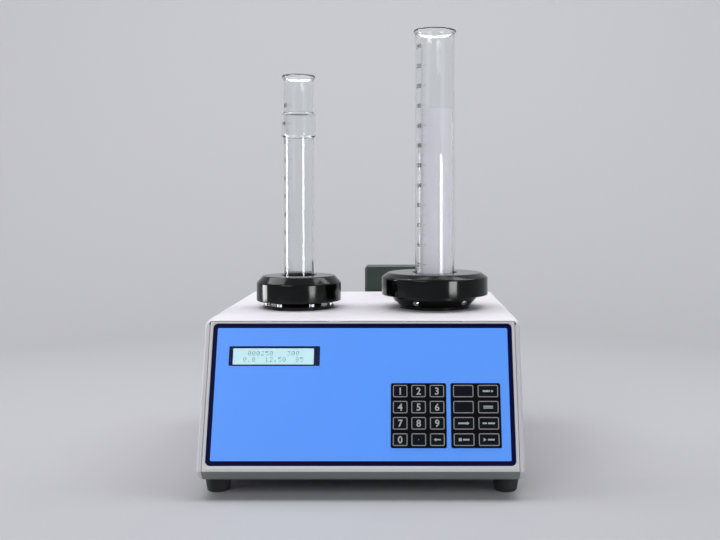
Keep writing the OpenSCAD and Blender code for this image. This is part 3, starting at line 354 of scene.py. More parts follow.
def finish(name, colour, drift, driftScale, sheen, sheenScale, marks=0, depth=0.0, kind="grain", dust=0.0,
           centre=(0.0, 0.0, 0.0), **sockets):
    # one procedural material: drifting colour, wandering roughness, dust, and bumps from grain or lathe marks
    material = bpy.data.materials.new(name)
    material.use_nodes = True
    tree = material.node_tree
    shader = tree.nodes["Principled BSDF"]
    coords = tree.nodes.new("ShaderNodeTexCoord")
    place = addNode(tree, "ShaderNodeMapping", Vector=coords.outputs["Object"], Location=[-c for c in centre])
    vector = place.outputs["Vector"]
    base = placeGroup(tree, "drift", Vector=vector, Color=linear(colour), Amount=drift, Scale=driftScale)
    if dust > 0:
        mask = placeGroup(tree, "dust", Vector=vector, Amount=dust)
        mix = addNode(tree, "ShaderNodeMix", {"data_type": "RGBA"}, Factor=mask, A=base, B=linear(dustColour))
        base = mix.outputs["Result"]
    rough = placeGroup(tree, "sheen", Vector=vector, Low=sheen[0], High=sheen[1], Scale=sheenScale)
    setInputs(shader, Base_Color=base, Roughness=rough, **sockets)
    if marks > 0:
        height = placeGroup(tree, kind, Vector=vector, Scale=marks)
        bump = addNode(tree, "ShaderNodeBump", Strength=1.0, Distance=depth * mm, Height=height)
        setInputs(shader, Normal=bump.outputs["Normal"])
    looks[name] = material


# finishes: name, colour, drift and its scale, least and most roughness and their scale, marks and their depth

leftAxis, rightAxis = midOf("small_clamp_ring"), midOf("large_clamp_ring")

finish("casePaint", "#dcd9e0", 0.03, 14, (0.42, 0.55), 18, 620, 0.05, dust=0.05, Specular_IOR_Level=0.2)
# the bezel has the case's paint made a little lighter: painted light on the front face, which the lamps light
# less
finish("brightenedBezelPaint", "#dfdfdf", 0.04, 16, (0.36, 0.48), 22, 700, 0.04)
# the nose is the bezel's grey made darker: painted shade for the undercut face that looks down, away from the
# lamps
finish("shadedNosePaint", "#868e89", 0.05, 16, (0.42, 0.55), 22, 700, 0.04)
finish("trayPaint", "#b9bcc2", 0.05, 18, (0.35, 0.5), 25, 500, 0.04, Metallic=0.35)
finish("borderNavy", "#02043c", 0.08, 30, (0.34, 0.46), 40, 900, 0.012, Specular_IOR_Level=0.08)
# the blue film has a little of its own light: painted light that keeps the sloping face bright and even
finish("glowingFilmBlue", "#5a9bff", 0.025, 9, (0.36, 0.46), 26, 1500, 0.012, Specular_IOR_Level=0.35,
       Emission_Strength=0.28, Emission_Color=linear("#5a9afc"))
finish("keypadBlack", "#05060f", 0.1, 40, (0.42, 0.56), 60, 1300, 0.015, Specular_IOR_Level=0.08)
finish("keyBlack", "#080a19", 0.1, 60, (0.4, 0.55), 120, 1800, 0.014, Specular_IOR_Level=0.1)
finish("keyInk", "#b9c0bd", 0.06, 200, (0.5, 0.6), 200, 2200, 0.01)
finish("keyLine", "#9a9c9d", 0.06, 200, (0.5, 0.6), 200, 2200, 0.01)
finish("moduleBlack", "#03064e", 0.1, 60, (0.4, 0.5), 60, 900, 0.01, Specular_IOR_Level=0.08)
finish("boardGreen", "#1d6b3c", 0.15, 60, (0.35, 0.5), 80, 700, 0.03)
finish("supplyBlack", "#2a3a31", 0.08, 22, (0.42, 0.56), 30, 420, 0.12, dust=0.12)
finish("socketBlack", "#17181a", 0.08, 40, (0.35, 0.5), 60, 900, 0.03)
finish("portSteel", "#b9bdc2", 0.05, 80, (0.28, 0.4), 90, 900, 0.01, Metallic=1.0)
finish("screwSteel", "#d9dbdf", 0.06, 120, (0.16, 0.3), 200, 1500, 0.006, Metallic=1.0)
finish("frameAlloy", "#a4a9ae", 0.08, 30, (0.34, 0.5), 50, 600, 0.02, Metallic=0.9)
finish("shaftSteel", "#bcc0c5", 0.05, 60, (0.2, 0.34), 80, 900, 0.008, Metallic=1.0)
finish("gearBrass", "#b8974a", 0.1, 60, (0.26, 0.42), 80, 800, 0.01, Metallic=1.0)
finish("motorGrey", "#7b8188", 0.08, 40, (0.3, 0.44), 60, 700, 0.02, Metallic=0.8)
finish("rubberBlack", "#1b1b1d", 0.12, 60, (0.62, 0.8), 80, 900, 0.06, dust=0.1)
for holderLook, holderAxis in (("holderLeft", leftAxis), ("holderRight", rightAxis)):
    finish(holderLook, "#030705", 0.15, 30, (0.07, 0.16), 70, 2600, 0.006, "turned", dust=0.04,
           centre=holderAxis, Specular_IOR_Level=0.26)
# the powder has a little of its own light: painted light that brightens it where the glass keeps the lamps
# off
finish("powder", "#f6f3fb", 0.05, 90, (0.85, 0.95), 60, 1100, 0.25, Emission_Strength=0.08,
       Emission_Color=linear("#ece8f4"))
finish("scaleInk", "#5e4022", 0.15, 300, (0.5, 0.6), 100, 1500, 0.01)

# clear finishes are smooth where clean and a touch rougher where they have been handled
finish("glass", "#fbfdfd", 0.0, 10, (0.0, 0.03), 35, IOR=1.47, Transmission_Weight=1.0)
finish("lensClear", "#f4fbff", 0.0, 10, (0.02, 0.06), 50, IOR=1.3, Transmission_Weight=1.0)

# the screen is lit from behind: a pale colour with a little of its own light
finish("screenCyan", "#d4f3f4", 0.05, 40, (0.25, 0.35), 60, 2600, 0.004, Emission_Strength=0.36,
       Emission_Color=linear("#d4f3f4"))
finish("screenDots", "#547a80", 0.08, 300, (0.4, 0.5), 200, 2000, 0.004)
print("stage 3:", len(looks), "finishes")

# pieces that keep the shape of their solid
cadFinish = {
    # the blue film on the panel overlay glows a little, which is painted light
    "trayPaint": "base_tray rear_panel", "borderNavy": "panel_plate", "glowingFilmBlue": "panel_overlay",
    "lensClear": "display_lens", "screenCyan": "display_screen", "moduleBlack": "display_module",
    "keypadBlack": "keypad_frames", "boardGreen": "control_board power_supply", "supplyBlack": "supply_box",
    "socketBlack": "mains_inlet switch_frame mains_rocker", "portSteel": "serial_port",
    "frameAlloy": "drive_frame", "motorGrey": "gear_motor", "gearBrass": "drive_gear motor_pinion",
    "shaftSteel": "shaft_bearings camshaft lift_cams guide_pins left_spindle right_spindle",
    "screwSteel": "case_screws flange_screws large_platform_screws", "rubberBlack": "rubber_feet",
    "holderLeft": "left_guide_housing", "holderRight": "right_guide_housing",
}
for look, nodeNames in cadFinish.items():
    for nodeName in nodeNames.split():
        mesh = nodes[nodeName].data
        mesh.materials.clear()
        mesh.materials.append(looks[look])


# cover: an arch of two sides and the deck, carried from the front opening to the rounded back

coverSettings = {"edge": 6 * mm, "frontRound": 4 * mm, "frontEase": 9 * mm, "sideRound": 3.2 * mm,
                 "corner": 12 * mm, "sheet": 2 * mm, "sideLip": 4.5 * mm, "topLip": 2.1 * mm,
                 "leastLip": 0.02 * mm, "flange": 28 * mm, "flangeShares": (1.0, 0.6, 0.2),
                 "foldRound": 4.5 * mm, "sideStart": 1.5 * mm, "floorFront": 18 * mm, "floorStep": 0.03 * mm,
                 "firstShare": 0.03, "deckBite": 0.674, "sideWeight": 0.707, "deckWeight": 0.814,
                 "arcRows": 9, "foldRows": 7, "lowRows": 3, "sideRows": 22, "deckSteps": 13,
                 "edgeRows": 10, "lengthRows": 13, "holeRoom": 0.3 * mm, "justUnder": 0.1 * mm,
                 "drillReach": 8 * mm, "rearRim": 8 * mm, "rearReach": 6 * mm}
caseLow, caseHigh = boxOf("cover_shell")
bezelFaceLow, bezelFaceHigh = faceBox("front_bezel")
faceLevel = bezelFaceHigh[2]                              # how far out the bezel's face lies
# height of the nose's edge, where the bezel's face meets the front of the case
edgeZ = (faceLevel * faceOut[2]) + (caseLow[1] - faceLevel * faceOut[1]) * faceUp[2] / faceUp[1]
noseRun = 8 * mm                                          # how far the nose is cut back at its bottom


def noseAndSlope(z):
    # where the front ends at each height: the slope above the nose's edge, the undercut below it
    above = caseLow[1] + (z - edgeZ) * faceLean
    below = caseLow[1] + (edgeZ - z) / (edgeZ - caseLow[2]) * noseRun
    return np.where(z >= edgeZ, above, below)


def archProfile(s):
    # half the arch, from the flange round the bottom corner, up the side and over the deck, then its mirror:
    # points, direction in through the sheet, direction of the roundings and share of deck
    half, e, f = caseHigh[0], s["edge"], s["foldRound"]
    arc = np.linspace(0, math.pi / 2, s["arcRows"])[1:]
    fold = np.linspace(0, math.pi / 2, s["foldRows"])
    share = np.array(s["flangeShares"])
    low = np.stack([-half + s["flange"] * share, np.full(len(share), caseLow[2])], 1)
    foot = np.stack([-half + f - f * np.sin(fold), caseLow[2] + f - f * np.cos(fold)], 1)
    heights = np.concatenate([np.linspace(caseLow[2] + f + s["sideStart"], edgeZ, s["lowRows"]),
                              np.linspace(edgeZ, caseHigh[2] - e, s["sideRows"])[1:]])
    side = np.stack([np.full(len(heights), -half), heights], 1)
    bend = np.stack([-half + e - e * np.cos(arc), caseHigh[2] - e + e * np.sin(arc)], 1)
    steps = s["deckSteps"]
    deck = np.stack([np.linspace(-half + e, 0, steps + 1)[1:], np.full(steps, caseHigh[2])], 1)
    points = np.concatenate([low, foot, side, bend, deck])
    upper = np.concatenate([np.tile([1.0, 0.0], (len(side), 1)), np.stack([np.cos(arc), -np.sin(arc)], 1),
                            np.tile([0.0, -1.0], (steps, 1))])
    through = np.concatenate([np.tile([0.0, 1.0], (len(share), 1)),
                              np.stack([np.sin(fold), np.cos(fold)], 1), upper])
    turning = np.concatenate([np.stack([1 - share, 0 * share], 1),
                              np.tile([1.0, 0.0], (len(fold), 1)), upper])
    whole = [np.concatenate([v, v[-2::-1] * [-1, 1]]) for v in (points, through, turning)]
    return whole + [np.maximum(-whole[2][:, 1], 0)]


def buildCover(s):
    # rows of the outer and the inner skin, from the front lip to the back, joined along all open edges
    arch, through, turning, deck = archProfile(s)
    place = np.arange(len(arch))
    floor = np.minimum(place, place[::-1]) < len(s["flangeShares"])
    lip = s["sideLip"] + (s["topLip"] * faceUp[2] - s["sideLip"]) * deck
    lip = np.where(arch[:, 1] < edgeZ, np.maximum(lip - caseHigh[0] + np.abs(arch[:, 0]), 0), lip)
    bendIn = s["sideRound"] + (s["frontRound"] * s["deckBite"] - s["sideRound"]) * deck
    bendBack = s["sideRound"] + (s["frontEase"] - s["sideRound"]) * deck
    rear = s["corner"] + (s["edge"] - s["corner"]) * deck
    inner = arch + through * s["sheet"]
    frontShift = s["sheet"] / faceUp[2]

    def frontRow(base, inset, back, step):
        # the arch moved in by inset, its front edge laid on the slope and moved back
        p = base + turning * np.where(floor, 0, inset)[:, None]
        y = noseAndSlope(p[:, 1]) + back
        y = np.where(floor, caseLow[1] + s["floorFront"] + step * s["floorStep"], y)
        return np.stack([p[:, 0], y, p[:, 1]], 1)

    def rearRow(base, radius, flatEnd, turn):
        p = base + turning * (radius * (1 - math.cos(turn)))[:, None]
        return np.stack([p[:, 0], flatEnd + radius * math.sin(turn), p[:, 1]], 1)

    def drawnBack(front, flatEnd, shares):
        rows = []
        for t in shares:
            p = front.copy()
            p[:, 1] += (flatEnd - front[:, 1]) * t
            rows.append(p)
        return rows

    # the front edge is a weighted parabola: a circular arc at the sides, drawn out along the deck. Where the
    # lip is narrower than this rounding, it starts part of the way along
    weight = s["sideWeight"] + (s["deckWeight"] - s["sideWeight"]) * deck
    u = np.linspace(0, 1, 400)[:, None]
    depth = bendIn * (1 - u) ** 2 / ((1 - u) ** 2 + 2 * u * (1 - u) * weight + u ** 2)
    start = np.where(lip < bendIn, u[np.argmax(depth <= lip, axis=0), 0], 0)
    outerRows = []
    for step, t in enumerate(np.linspace(0, 1, s["edgeRows"])):
        u = start + (1 - start) * t
        share = (1 - u) ** 2 + 2 * u * (1 - u) * weight + u ** 2
        inset = np.where((step == 0) & (lip > bendIn), lip, bendIn * (1 - u) ** 2 / share)
        outerRows.append(frontRow(arch, inset, bendBack * u ** 2 / share, step))
    flatEnd = caseHigh[1] - rear
    turns = np.linspace(0, math.pi / 2, s["edgeRows"])[1:]
    outerRows += drawnBack(outerRows[-1], flatEnd, np.linspace(s["firstShare"], 1, s["lengthRows"]))
    outerRows += [rearRow(arch, rear, flatEnd, turn) for turn in turns]
    inset = np.maximum(lip - s["sheet"], s["leastLip"])
    innerRows = [frontRow(inner, inset, frontShift, 0), frontRow(inner, 0 * lip, frontShift, 1)]
    flatRows = len(outerRows) - len(turns) - len(innerRows)
    innerRows += drawnBack(innerRows[-1], flatEnd, np.linspace(s["firstShare"], 1, flatRows))
    innerRows += [rearRow(inner, rear - s["sheet"], flatEnd, turn) for turn in turns]

    rows, cols = len(outerRows), len(arch)
    skin = gridFaces(rows, cols)
    shift = rows * cols
    lipEdge = np.arange(cols - 1)
    lipFaces = np.stack([lipEdge, lipEdge + shift, lipEdge + shift + 1, lipEdge + 1], 1)
    faces = [skin, skin[:, ::-1] + shift, lipFaces]
    for col in (0, cols - 1):
        edge = np.arange(rows - 1) * cols + col
        faces.append(np.stack([edge, edge + cols, edge + cols + shift, edge + shift], 1))
    outerBack = np.arange(cols) + (rows - 1) * cols
    closing = [outerBack.tolist(), (outerBack[::-1] + shift).tolist(),
               [int(outerBack[0]), int(outerBack[-1]), int(outerBack[-1] + shift), int(outerBack[0] + shift)]]
    return np.array(outerRows + innerRows), np.concatenate(faces).tolist() + closing


def boxPart(low, high):
    # a plain sheet or block between two corners, as a plate of two loops
    x, y = np.array([low[0], high[0], high[0], low[0]]), np.array([low[1], low[1], high[1], high[1]])
    return platePart(np.stack([np.stack([x, y, np.full(4, z)], 1) for z in (low[2], high[2])]))


def cutHoles(piece, tools):
    # takes the tool pieces out of a piece and keeps the result as its mesh
    for tool in tools:
        cut = piece.modifiers.new("hole", "BOOLEAN")
        cut.object = tool
        cut.operation = "DIFFERENCE"
        cut.solver = "EXACT"
    dressed = piece.evaluated_get(bpy.context.evaluated_depsgraph_get())
    mesh = bpy.data.meshes.new_from_object(dressed)
    piece.modifiers.clear()
    piece.data = mesh
    for tool in tools:
        bpy.data.objects.remove(tool)


def coverPiece(name, part, replaced=()):
    return makePiece(name, [part], looks["casePaint"], "case", replaced)


def shapeCover(s):
    # the skins, less a round hole for each guide housing and an oblong one inside the rear panel's rim, and
    # the flange along the bottom of the back
    cover = coverPiece("coverShell", buildCover(s), ["cover_shell"])
    tools = []
    for axis, node in ((leftAxis, "left_guide_housing"), (rightAxis, "right_guide_housing")):
        points = nodePoints(node)
        under = points[points[:, 2] < caseHigh[2] - s["justUnder"]]
        radius = np.ptp(under[:, 0]) / 2 + s["holeRoom"]
        z0, z1 = caseHigh[2] - s["drillReach"], caseHigh[2] + s["drillReach"]
        drill = np.array([(0, z0), (radius, z0), (radius, z1), (0, z1)])
        tools.append(coverPiece("deckDrill", lathePart(drill, axis, False, 96)))
    low, high = boxOf("rear_panel")
    low, high = low + s["rearRim"], high - s["rearRim"]
    low[1], high[1] = caseHigh[1] - s["rearReach"], caseHigh[1] + s["rearReach"]
    tools.append(coverPiece("rearCutter", boxPart(low, high)))
    cutHoles(cover, tools)
    cover.data.name = "coverShell"
    x, y, z = caseHigh[0] - s["flange"], caseHigh[1], caseLow[2]
    coverPiece("rearFlange", boxPart((-x, y - s["flange"], z), (x, y - s["sheet"], z + s["sheet"])))


shapeCover(coverSettings)
print("stage 4: cover, edge of the nose at", round(edgeZ / mm, 2), "mm")


# bezel: a picture frame of rounded loops, with the undercut nose below it

bezelSettings = {"thick": 6 * mm, "softEdge": 0.35 * mm, "outerRound": 0.8 * mm, "ledge": 6 * mm,
                 "innerRound": 4.2 * mm, "room": 0.2 * mm, "midEdge": 0.3,
                 "noseRound": (0.1 * mm, 1.2 * mm, 0.5 * mm, 0.1 * mm)}


def buildBezel(s):
    panelLow, panelHigh = faceBox("panel_plate")
    outSize = np.array([bezelFaceHigh[0] - bezelFaceLow[0], 0.0])
    bottomV = caseLow[1] * faceUp[1] + edgeZ * faceUp[2]
    outSize[1] = bezelFaceHigh[1] - bottomV
    outMid = np.array([0.0, (bezelFaceHigh[1] + bottomV) / 2])
    inSize = (panelHigh - panelLow)[:2] + 2 * s["room"]
    inMid = ((panelHigh + panelLow) / 2)[:2]
    edge = s["softEdge"]
    cut = edge * s["midEdge"]                             # the middle of an edge's rounding

    def loop(size, mid, radius, inset, w):
        return onFace(roundRect(size[0] - 2 * inset, size[1] - 2 * inset, radius), mid, faceLevel + w)

    sink = panelLow[2] - faceLevel
    rows = [loop(outSize, outMid, s["outerRound"], 0, -s["thick"]),
            loop(outSize, outMid, s["outerRound"], 0, -edge),
            loop(outSize, outMid, s["outerRound"], cut, -cut),
            loop(outSize, outMid, s["outerRound"], edge, 0),
            loop(inSize, inMid, s["innerRound"] + edge, -edge, 0),
            loop(inSize, inMid, s["innerRound"], -cut, -cut),
            loop(inSize, inMid, s["innerRound"], 0, -edge),
            loop(inSize, inMid, s["innerRound"], 0, sink),
            loop(inSize, inMid, s["innerRound"], s["ledge"], sink),
            loop(inSize, inMid, s["innerRound"], s["ledge"], -s["thick"])]
    ring = gridPart(np.array(rows), True)
    y, z = caseLow[1], edgeZ
    back = np.array([y, z]) - s["thick"] * faceOut[1:]
    corners = [(y, z), (y + noseRun, caseLow[2]), (y + noseRun + s["thick"], caseLow[2]), tuple(back)]
    nose = softProfile(corners, s["noseRound"], 5, True)
    across = np.array([bezelFaceLow[0], bezelFaceHigh[0]])
    noseGrid = np.stack([across[:, None] + 0 * nose[:, 0], nose[:, 0] + 0 * across[:, None],
                         nose[:, 1] + 0 * across[:, None]], -1)
    return ring, platePart(noseGrid)


bezelRing, bezelNose = buildBezel(bezelSettings)
makePiece("frontBezel", [bezelRing], looks["brightenedBezelPaint"], "case", ["front_bezel"])
# the nose takes the darker grey, which is painted shade
makePiece("bezelNose", [bezelNose], looks["shadedNosePaint"], "case")


# keys: rounded caps with a raised rim, an outline and a plain number or sign

keySettings = {"rim": 1.25 * mm, "dip": 0.22 * mm, "corner": 1.6 * mm, "soft": 0.3 * mm, "line": 0.75 * mm,
               "lineInset": 0.3 * mm, "inkLift": 0.03 * mm, "numberHeight": 6.2 * mm, "bold": 0.16 * mm,
               "pointShare": 0.35}
keyNames = ["key_" + k for k in "1 2 3 4 5 6 7 8 9 point 0 clear f1 f2 f3 f4 f5 f6 f7 f8".split()]


def bars(boxes):
    # filled rectangles of (left, bottom, right, top), as flat points and faces
    b = np.array(boxes, float)
    p = np.stack([b[:, [0, 1]], b[:, [2, 1]], b[:, [2, 3]], b[:, [0, 3]]], 1).reshape(-1, 2)
    return p, np.arange(len(p)).reshape(-1, 4).tolist()


def wedge(tip, base, half):
    # filled triangle that points along x from base to tip
    return np.array([[base, -half], [tip, 0], [base, half]]), [[0, 1, 2] if tip > base else [0, 2, 1]]


def signOf(name):
    # signs for the function keys, in mm: bars and wedges that stand for no word
    signs = {
        "key_clear": (wedge(-3.1, -1.0, 1.5), bars([(-1.0, -0.55, 3.0, 0.55)])),
        "key_f2": (bars([(-4.6, -0.8, 1.6, 0.8), (2.6, -0.8, 4.6, 0.8)]),),
        "key_f4": (bars([(-4.2, 0.3, 4.2, 1.2), (-4.2, -1.2, 4.2, -0.3)]),),
        "key_f5": (wedge(5.0, 2.8, 1.5), bars([(-4.8, -0.7, 2.8, 0.7)])),
        "key_f6": (bars([(-5.4, -0.7, -1.6, 0.7), (-0.6, -0.7, 5.4, 0.7)]),),
        "key_f7": (bars([(-4.6, -1.3, -2.0, 1.3), (-1.0, -0.7, 4.6, 0.7)]),),
        "key_f8": (wedge(-2.2, -4.8, 1.5), bars([(-1.0, -0.7, 4.8, 0.7)])),
    }
    return [(p * mm, faces) for p, faces in signs.get(name, ())]


def buildKey(name, s):
    # a cap of rounded loops: a straight wall, a rounded edge, a flat rim and a shallow dip for the sign
    low, high = faceBox(name)
    mid = (low + high) / 2
    frameTop = faceBox("keypad_frames")[1][2]
    sample = nodePoints(name)
    proud = sample[(sample @ faceOut) > frameTop]
    size = np.array([np.ptp(proud[:, 0]), np.ptp(proud @ faceUp)])
    top = high[2]
    r, soft, dip = s["rim"], s["soft"], s["dip"]
    rows = [(0, low[2]), (0, top - soft), (0.08 * soft, top - 0.45 * soft), (0.35 * soft, top - 0.12 * soft),
            (soft, top), (r - 0.12 * mm, top), (r, top - 0.05 * mm), (r + 0.12 * mm, top - dip * 0.8),
            (r + 0.3 * mm, top - dip)]
    loops = plateLoops(size[0], size[1], s["corner"], rows)
    cap = onFace(loops, mid, loops[..., 2])
    body = name + "_cap"
    makePiece(name.replace("key_", "keyCap_"), [platePart(cap)], looks["keyBlack"], body, [name])
    ringRows = [(s["lineInset"], top + s["inkLift"]), (s["lineInset"] + s["line"], top + s["inkLift"])]
    ring = plateLoops(size[0], size[1], s["corner"], ringRows)
    line = gridPart(onFace(ring, mid, ring[..., 2]))
    makePiece(name.replace("key_", "keyLine_"), [line], looks["keyLine"], body, solid=False)
    label = {"point": "."}.get(name[4:], name[4:])
    height = s["numberHeight"] * (s["pointShare"] if label == "." else 1)
    shapes = [numberShape(label, height, s["bold"])] if len(label) == 1 else signOf(name)
    inkParts = [(onFace(p, mid, top - dip + s["inkLift"]), faces) for p, faces in shapes]
    if inkParts:
        makePiece(name.replace("key_", "keyInk_"), inkParts, looks["keyInk"], body, solid=False)


for keyName in keyNames:
    buildKey(keyName, keySettings)
print("stage 5: bezel and", len(keyNames), "keys")


# display: rows of small square dots that make plain figures

screenSettings = {"columns": 16, "dot": 0.5 * mm, "pitch": 0.58 * mm, "figurePitch": 3.9 * mm,
                  "linePitch": 5.6 * mm, "lines": ["  000250   300  ", " 0.0  12.50  85 "], "lift": 0.03 * mm}
digitRows = {"0": (14, 17, 19, 21, 25, 17, 14), "1": (4, 12, 4, 4, 4, 4, 14), "2": (14, 17, 1, 2, 4, 8, 31),
             "3": (31, 2, 4, 2, 1, 17, 14), "5": (31, 16, 30, 1, 1, 17, 14),
             "8": (14, 17, 17, 14, 17, 17, 14), ".": (0, 0, 0, 0, 0, 12, 12)}


def buildDots(s):
    # each figure is seven rows of five bits, the highest bit at the left, and a set bit is a dot
    low, high = faceBox("display_screen")
    mid = (low + high) / 2
    centres = []
    for line, text in enumerate(s["lines"]):
        for place, sign in enumerate(text):
            if sign not in digitRows:
                continue
            bits = (np.array(digitRows[sign])[:, None] >> np.arange(4, -1, -1)) & 1
            row, col = np.nonzero(bits)
            x = (place - (s["columns"] - 1) / 2) * s["figurePitch"] + (col - 2) * s["pitch"]
            v = (0.5 - line) * s["linePitch"] + (3 - row) * s["pitch"]
            centres.append(np.stack([x, v], 1))
    c = np.concatenate(centres)
    h = s["dot"] / 2
    p, faces = bars(np.concatenate([c - h, c + h], 1))
    points = onFace(p, mid, high[2] + s["lift"])
    makePiece("screenDots", [(points, faces)], looks["screenDots"], "case", solid=False)
    return len(c)


print("stage 6: display with", buildDots(screenSettings), "dots")


# holders: turned pieces with softened corners

stations = {"small": leftAxis, "large": rightAxis}
ringSettings = {"bevelWide": 6.5 * mm, "cap": 8.5 * mm, "soft": 0.9 * mm, "steps": 192,
                "reach": (0.3, 1.0, 1.6, 1.6, 1.2, 0.3, 0.3),
                "small": {"look": "holderLeft", "bevel": 7 * mm, "hole": 17.4 * mm, "bore": 33.05 * mm},
                "large": {"look": "holderRight", "bevel": 4.4 * mm, "hole": 22.1 * mm, "bore": 42.05 * mm}}


def buildRing(size, axis, s):
    # a closed profile: outer wall, bevel, top, hole for the glass, underside of the cap, bore
    node, own = size + "_clamp_ring", s[size]
    low, high = boxOf(node)
    outer = (high[0] - low[0]) / 2
    hole, bore, z0, z1 = own["hole"], own["bore"], low[2], high[2]
    corners = [(bore, z0), (outer, z0), (outer, z1 - own["bevel"]), (outer - s["bevelWide"], z1), (hole, z1),
               (hole, z1 - s["cap"]), (bore, z1 - s["cap"])]
    profile = softProfile(corners, np.array(s["reach"]) * s["soft"], 6, True)
    makePiece(size + "ClampRing", [lathePart(profile, axis, True, s["steps"])], looks[own["look"]],
              size + "_ring", [node])


for size, axis in stations.items():
    buildRing(size, axis, ringSettings)

platformSettings = {"hub": 22.5 * mm, "bore": 5.05 * mm, "base": 36 * mm, "well": 34.6 * mm,
                    "coneHigh": 6.5 * mm, "wellHigh": 3.8 * mm, "lift": 0.1 * mm, "soft": 0.6 * mm,
                    "largeReach": (0.5, 0.5, 0.5, 0.5, 0.4, 0.4, 0.9, 1.0, 0.5)}


def buildPlatforms(s):
    # the small one is a disc on a hub, the large one a disc on a widening cone that is hollow round its hub
    low, high = boxOf("small_platform")
    outer = (high[0] - low[0]) / 2
    under = boxOf("small_clamp_ring")[0][2]
    corners = [(s["bore"], low[2]), (s["hub"], low[2]), (s["hub"], under), (outer, under), (outer, high[2]),
               (s["bore"], high[2])]
    profile = softProfile(corners, s["soft"], 4, True)
    makePiece("smallPlatform", [lathePart(profile, leftAxis, True)], looks["holderLeft"], "left_lifter",
              ["small_platform"])
    low, high = boxOf("large_platform")
    outer = (high[0] - low[0]) / 2
    foot = low[2] + s["lift"]
    corners = [(s["bore"], low[2]), (s["hub"], low[2]), (s["hub"], low[2] + s["wellHigh"]),
               (s["well"], low[2] + s["wellHigh"]), (s["well"], foot), (s["base"], foot),
               (outer, foot + s["coneHigh"]), (outer, high[2]), (s["bore"], high[2])]
    profile = softProfile(corners, np.array(s["largeReach"]) * s["soft"], 4, True)
    makePiece("largePlatform", [lathePart(profile, rightAxis, True)], looks["holderRight"], "right_lifter",
              ["large_platform"])


buildPlatforms(platformSettings)
print("stage 7: holders")


# measuring cylinders: a lathed wall with a foot, a beaded rim and a pulled pouring lip

glassSettings = {"wall": 1.5 * mm, "foot": 7.5 * mm, "floor": 5 * mm, "bead": 1.9 * mm, "beadTop": 0.75,
                 "plainTo": 8 * mm, "beadFrom": 4 * mm, "beadTo": 1.6 * mm, "mouthEdge": 0.2 * mm,
                 "boreFrom": 16 * mm, "lipShare": 0.24, "lipHigh": 14 * mm, "lipWide": 0.34, "lipTurn": 90,
                 "bandSlope": 1.5 * mm, "bandLeast": 0.8 * mm, "bandRound": 0.8 * mm, "bandFrom": 20 * mm,
                 "bandTo": 12 * mm, "steps": 144, "longStretch": 3 * mm, "footReach": (0, 1.2, 1.6, 3.5),
                 "rimReach": (0, 1.6, 0.9, 0.6, 0.6, 1.0, 0, 3.2, 0),
                 "radius": {"small": 14.8 * mm, "large": 19.5 * mm}}


def pulledLip(grid, axis, rim, outerR, s):
    # near the rim the wall is drawn out on one side: a bell across, growing with the square of the height
    away = grid[..., :2] - axis[:2]
    turn = np.arctan2(away[..., 1], away[..., 0]) - math.radians(s["lipTurn"])
    turn = (turn + math.pi) % (2 * math.pi) - math.pi
    rise = np.clip((grid[..., 2] - (rim - s["lipHigh"])) / s["lipHigh"], 0, 1) ** 2
    reach = s["lipShare"] * outerR * np.exp(-(turn / s["lipWide"]) ** 2) * rise
    radius = np.maximum(np.linalg.norm(away, axis=-1, keepdims=True), 1e-9)
    out = grid.copy()
    out[..., :2] += away / radius * reach[..., None]
    return out


def guardBand(node, axis, outerR, low, high, s):
    # corners of a raised band round the wall, where the node has one
    p = nodePoints(node)
    radius = np.hypot(p[:, 0] - axis[0], p[:, 1] - axis[1])
    raised = (radius > outerR + s["bandLeast"]) & (p[:, 2] > low) & (p[:, 2] < high)
    if not raised.any():
        return [], []
    r, z0, z1, slope = radius[raised].max(), p[raised, 2].min(), p[raised, 2].max(), s["bandSlope"]
    return [(outerR, z0 - slope), (r, z0), (r, z1), (outerR, z1 + slope)], [s["bandRound"]] * 4


def buildCylinder(size, axis, s):
    # a profile from under the foot, up the wall with its band and bead, over the rim and down the bore
    node, outerR = size + "_cylinder", s["radius"][size]
    low, high = boxOf(node)
    z0, rim = low[2], high[2]
    footR = (high[0] - low[0]) / 2
    innerR = outerR - s["wall"]
    top = z0 + s["foot"]
    band, bandReach = guardBand(node, axis, outerR, top + s["bandFrom"], rim - s["bandTo"], s)
    corners = [(0, z0), (footR, z0), (footR, top), (outerR, top)] + band + [
        (outerR, rim - s["plainTo"]), (outerR, rim - s["beadFrom"]), (outerR + s["bead"], rim - s["beadTo"]),
        (outerR + s["bead"] * s["beadTop"], rim), (outerR + s["mouthEdge"], rim), (innerR, rim - s["beadTo"]),
        (innerR, rim - s["boreFrom"]), (innerR, z0 + s["floor"]), (0, z0 + s["floor"])]
    reach = np.array(s["footReach"]) * mm, bandReach, np.array(s["rimReach"]) * mm
    outline = softProfile(corners, np.concatenate(reach), 6)
    # extra rows up the long stretches, so that the lip bends smoothly
    extra = np.linspace(0.15, 0.85, 6)[:, None]
    parts = []
    for first, last in zip(outline[:-1], outline[1:]):
        parts.append(first[None])
        if abs(last[1] - first[1]) > s["longStretch"]:
            parts.append(first + (last - first) * extra)
    profile = np.concatenate(parts + [outline[-1:]])
    grid = pulledLip(latheGrid(profile, axis, s["steps"]), axis, rim, outerR, s)
    makePiece(size + "Cylinder", [gridPart(grid)], looks["glass"], size + "_glass", [node],
              sharp=50)


for size, axis in stations.items():
    buildCylinder(size, axis, glassSettings)

scaleSettings = {"line": 0.22 * mm, "bold": 0.12 * mm, "short": 3.2 * mm, "middle": 4.8 * mm,
                 "long": 6.6 * mm, "angle": -137, "numberHeight": 4.2 * mm, "numberGap": 3.6 * mm,
                 "lift": 0.05 * mm, "points": 9,
                 "small": {"step": 1.8 * mm, "first": 5, "last": 100, "unit": 1, "every": 10},
                 "large": {"step": 1.96 * mm, "first": 10, "last": 240, "unit": 2, "every": 20}}


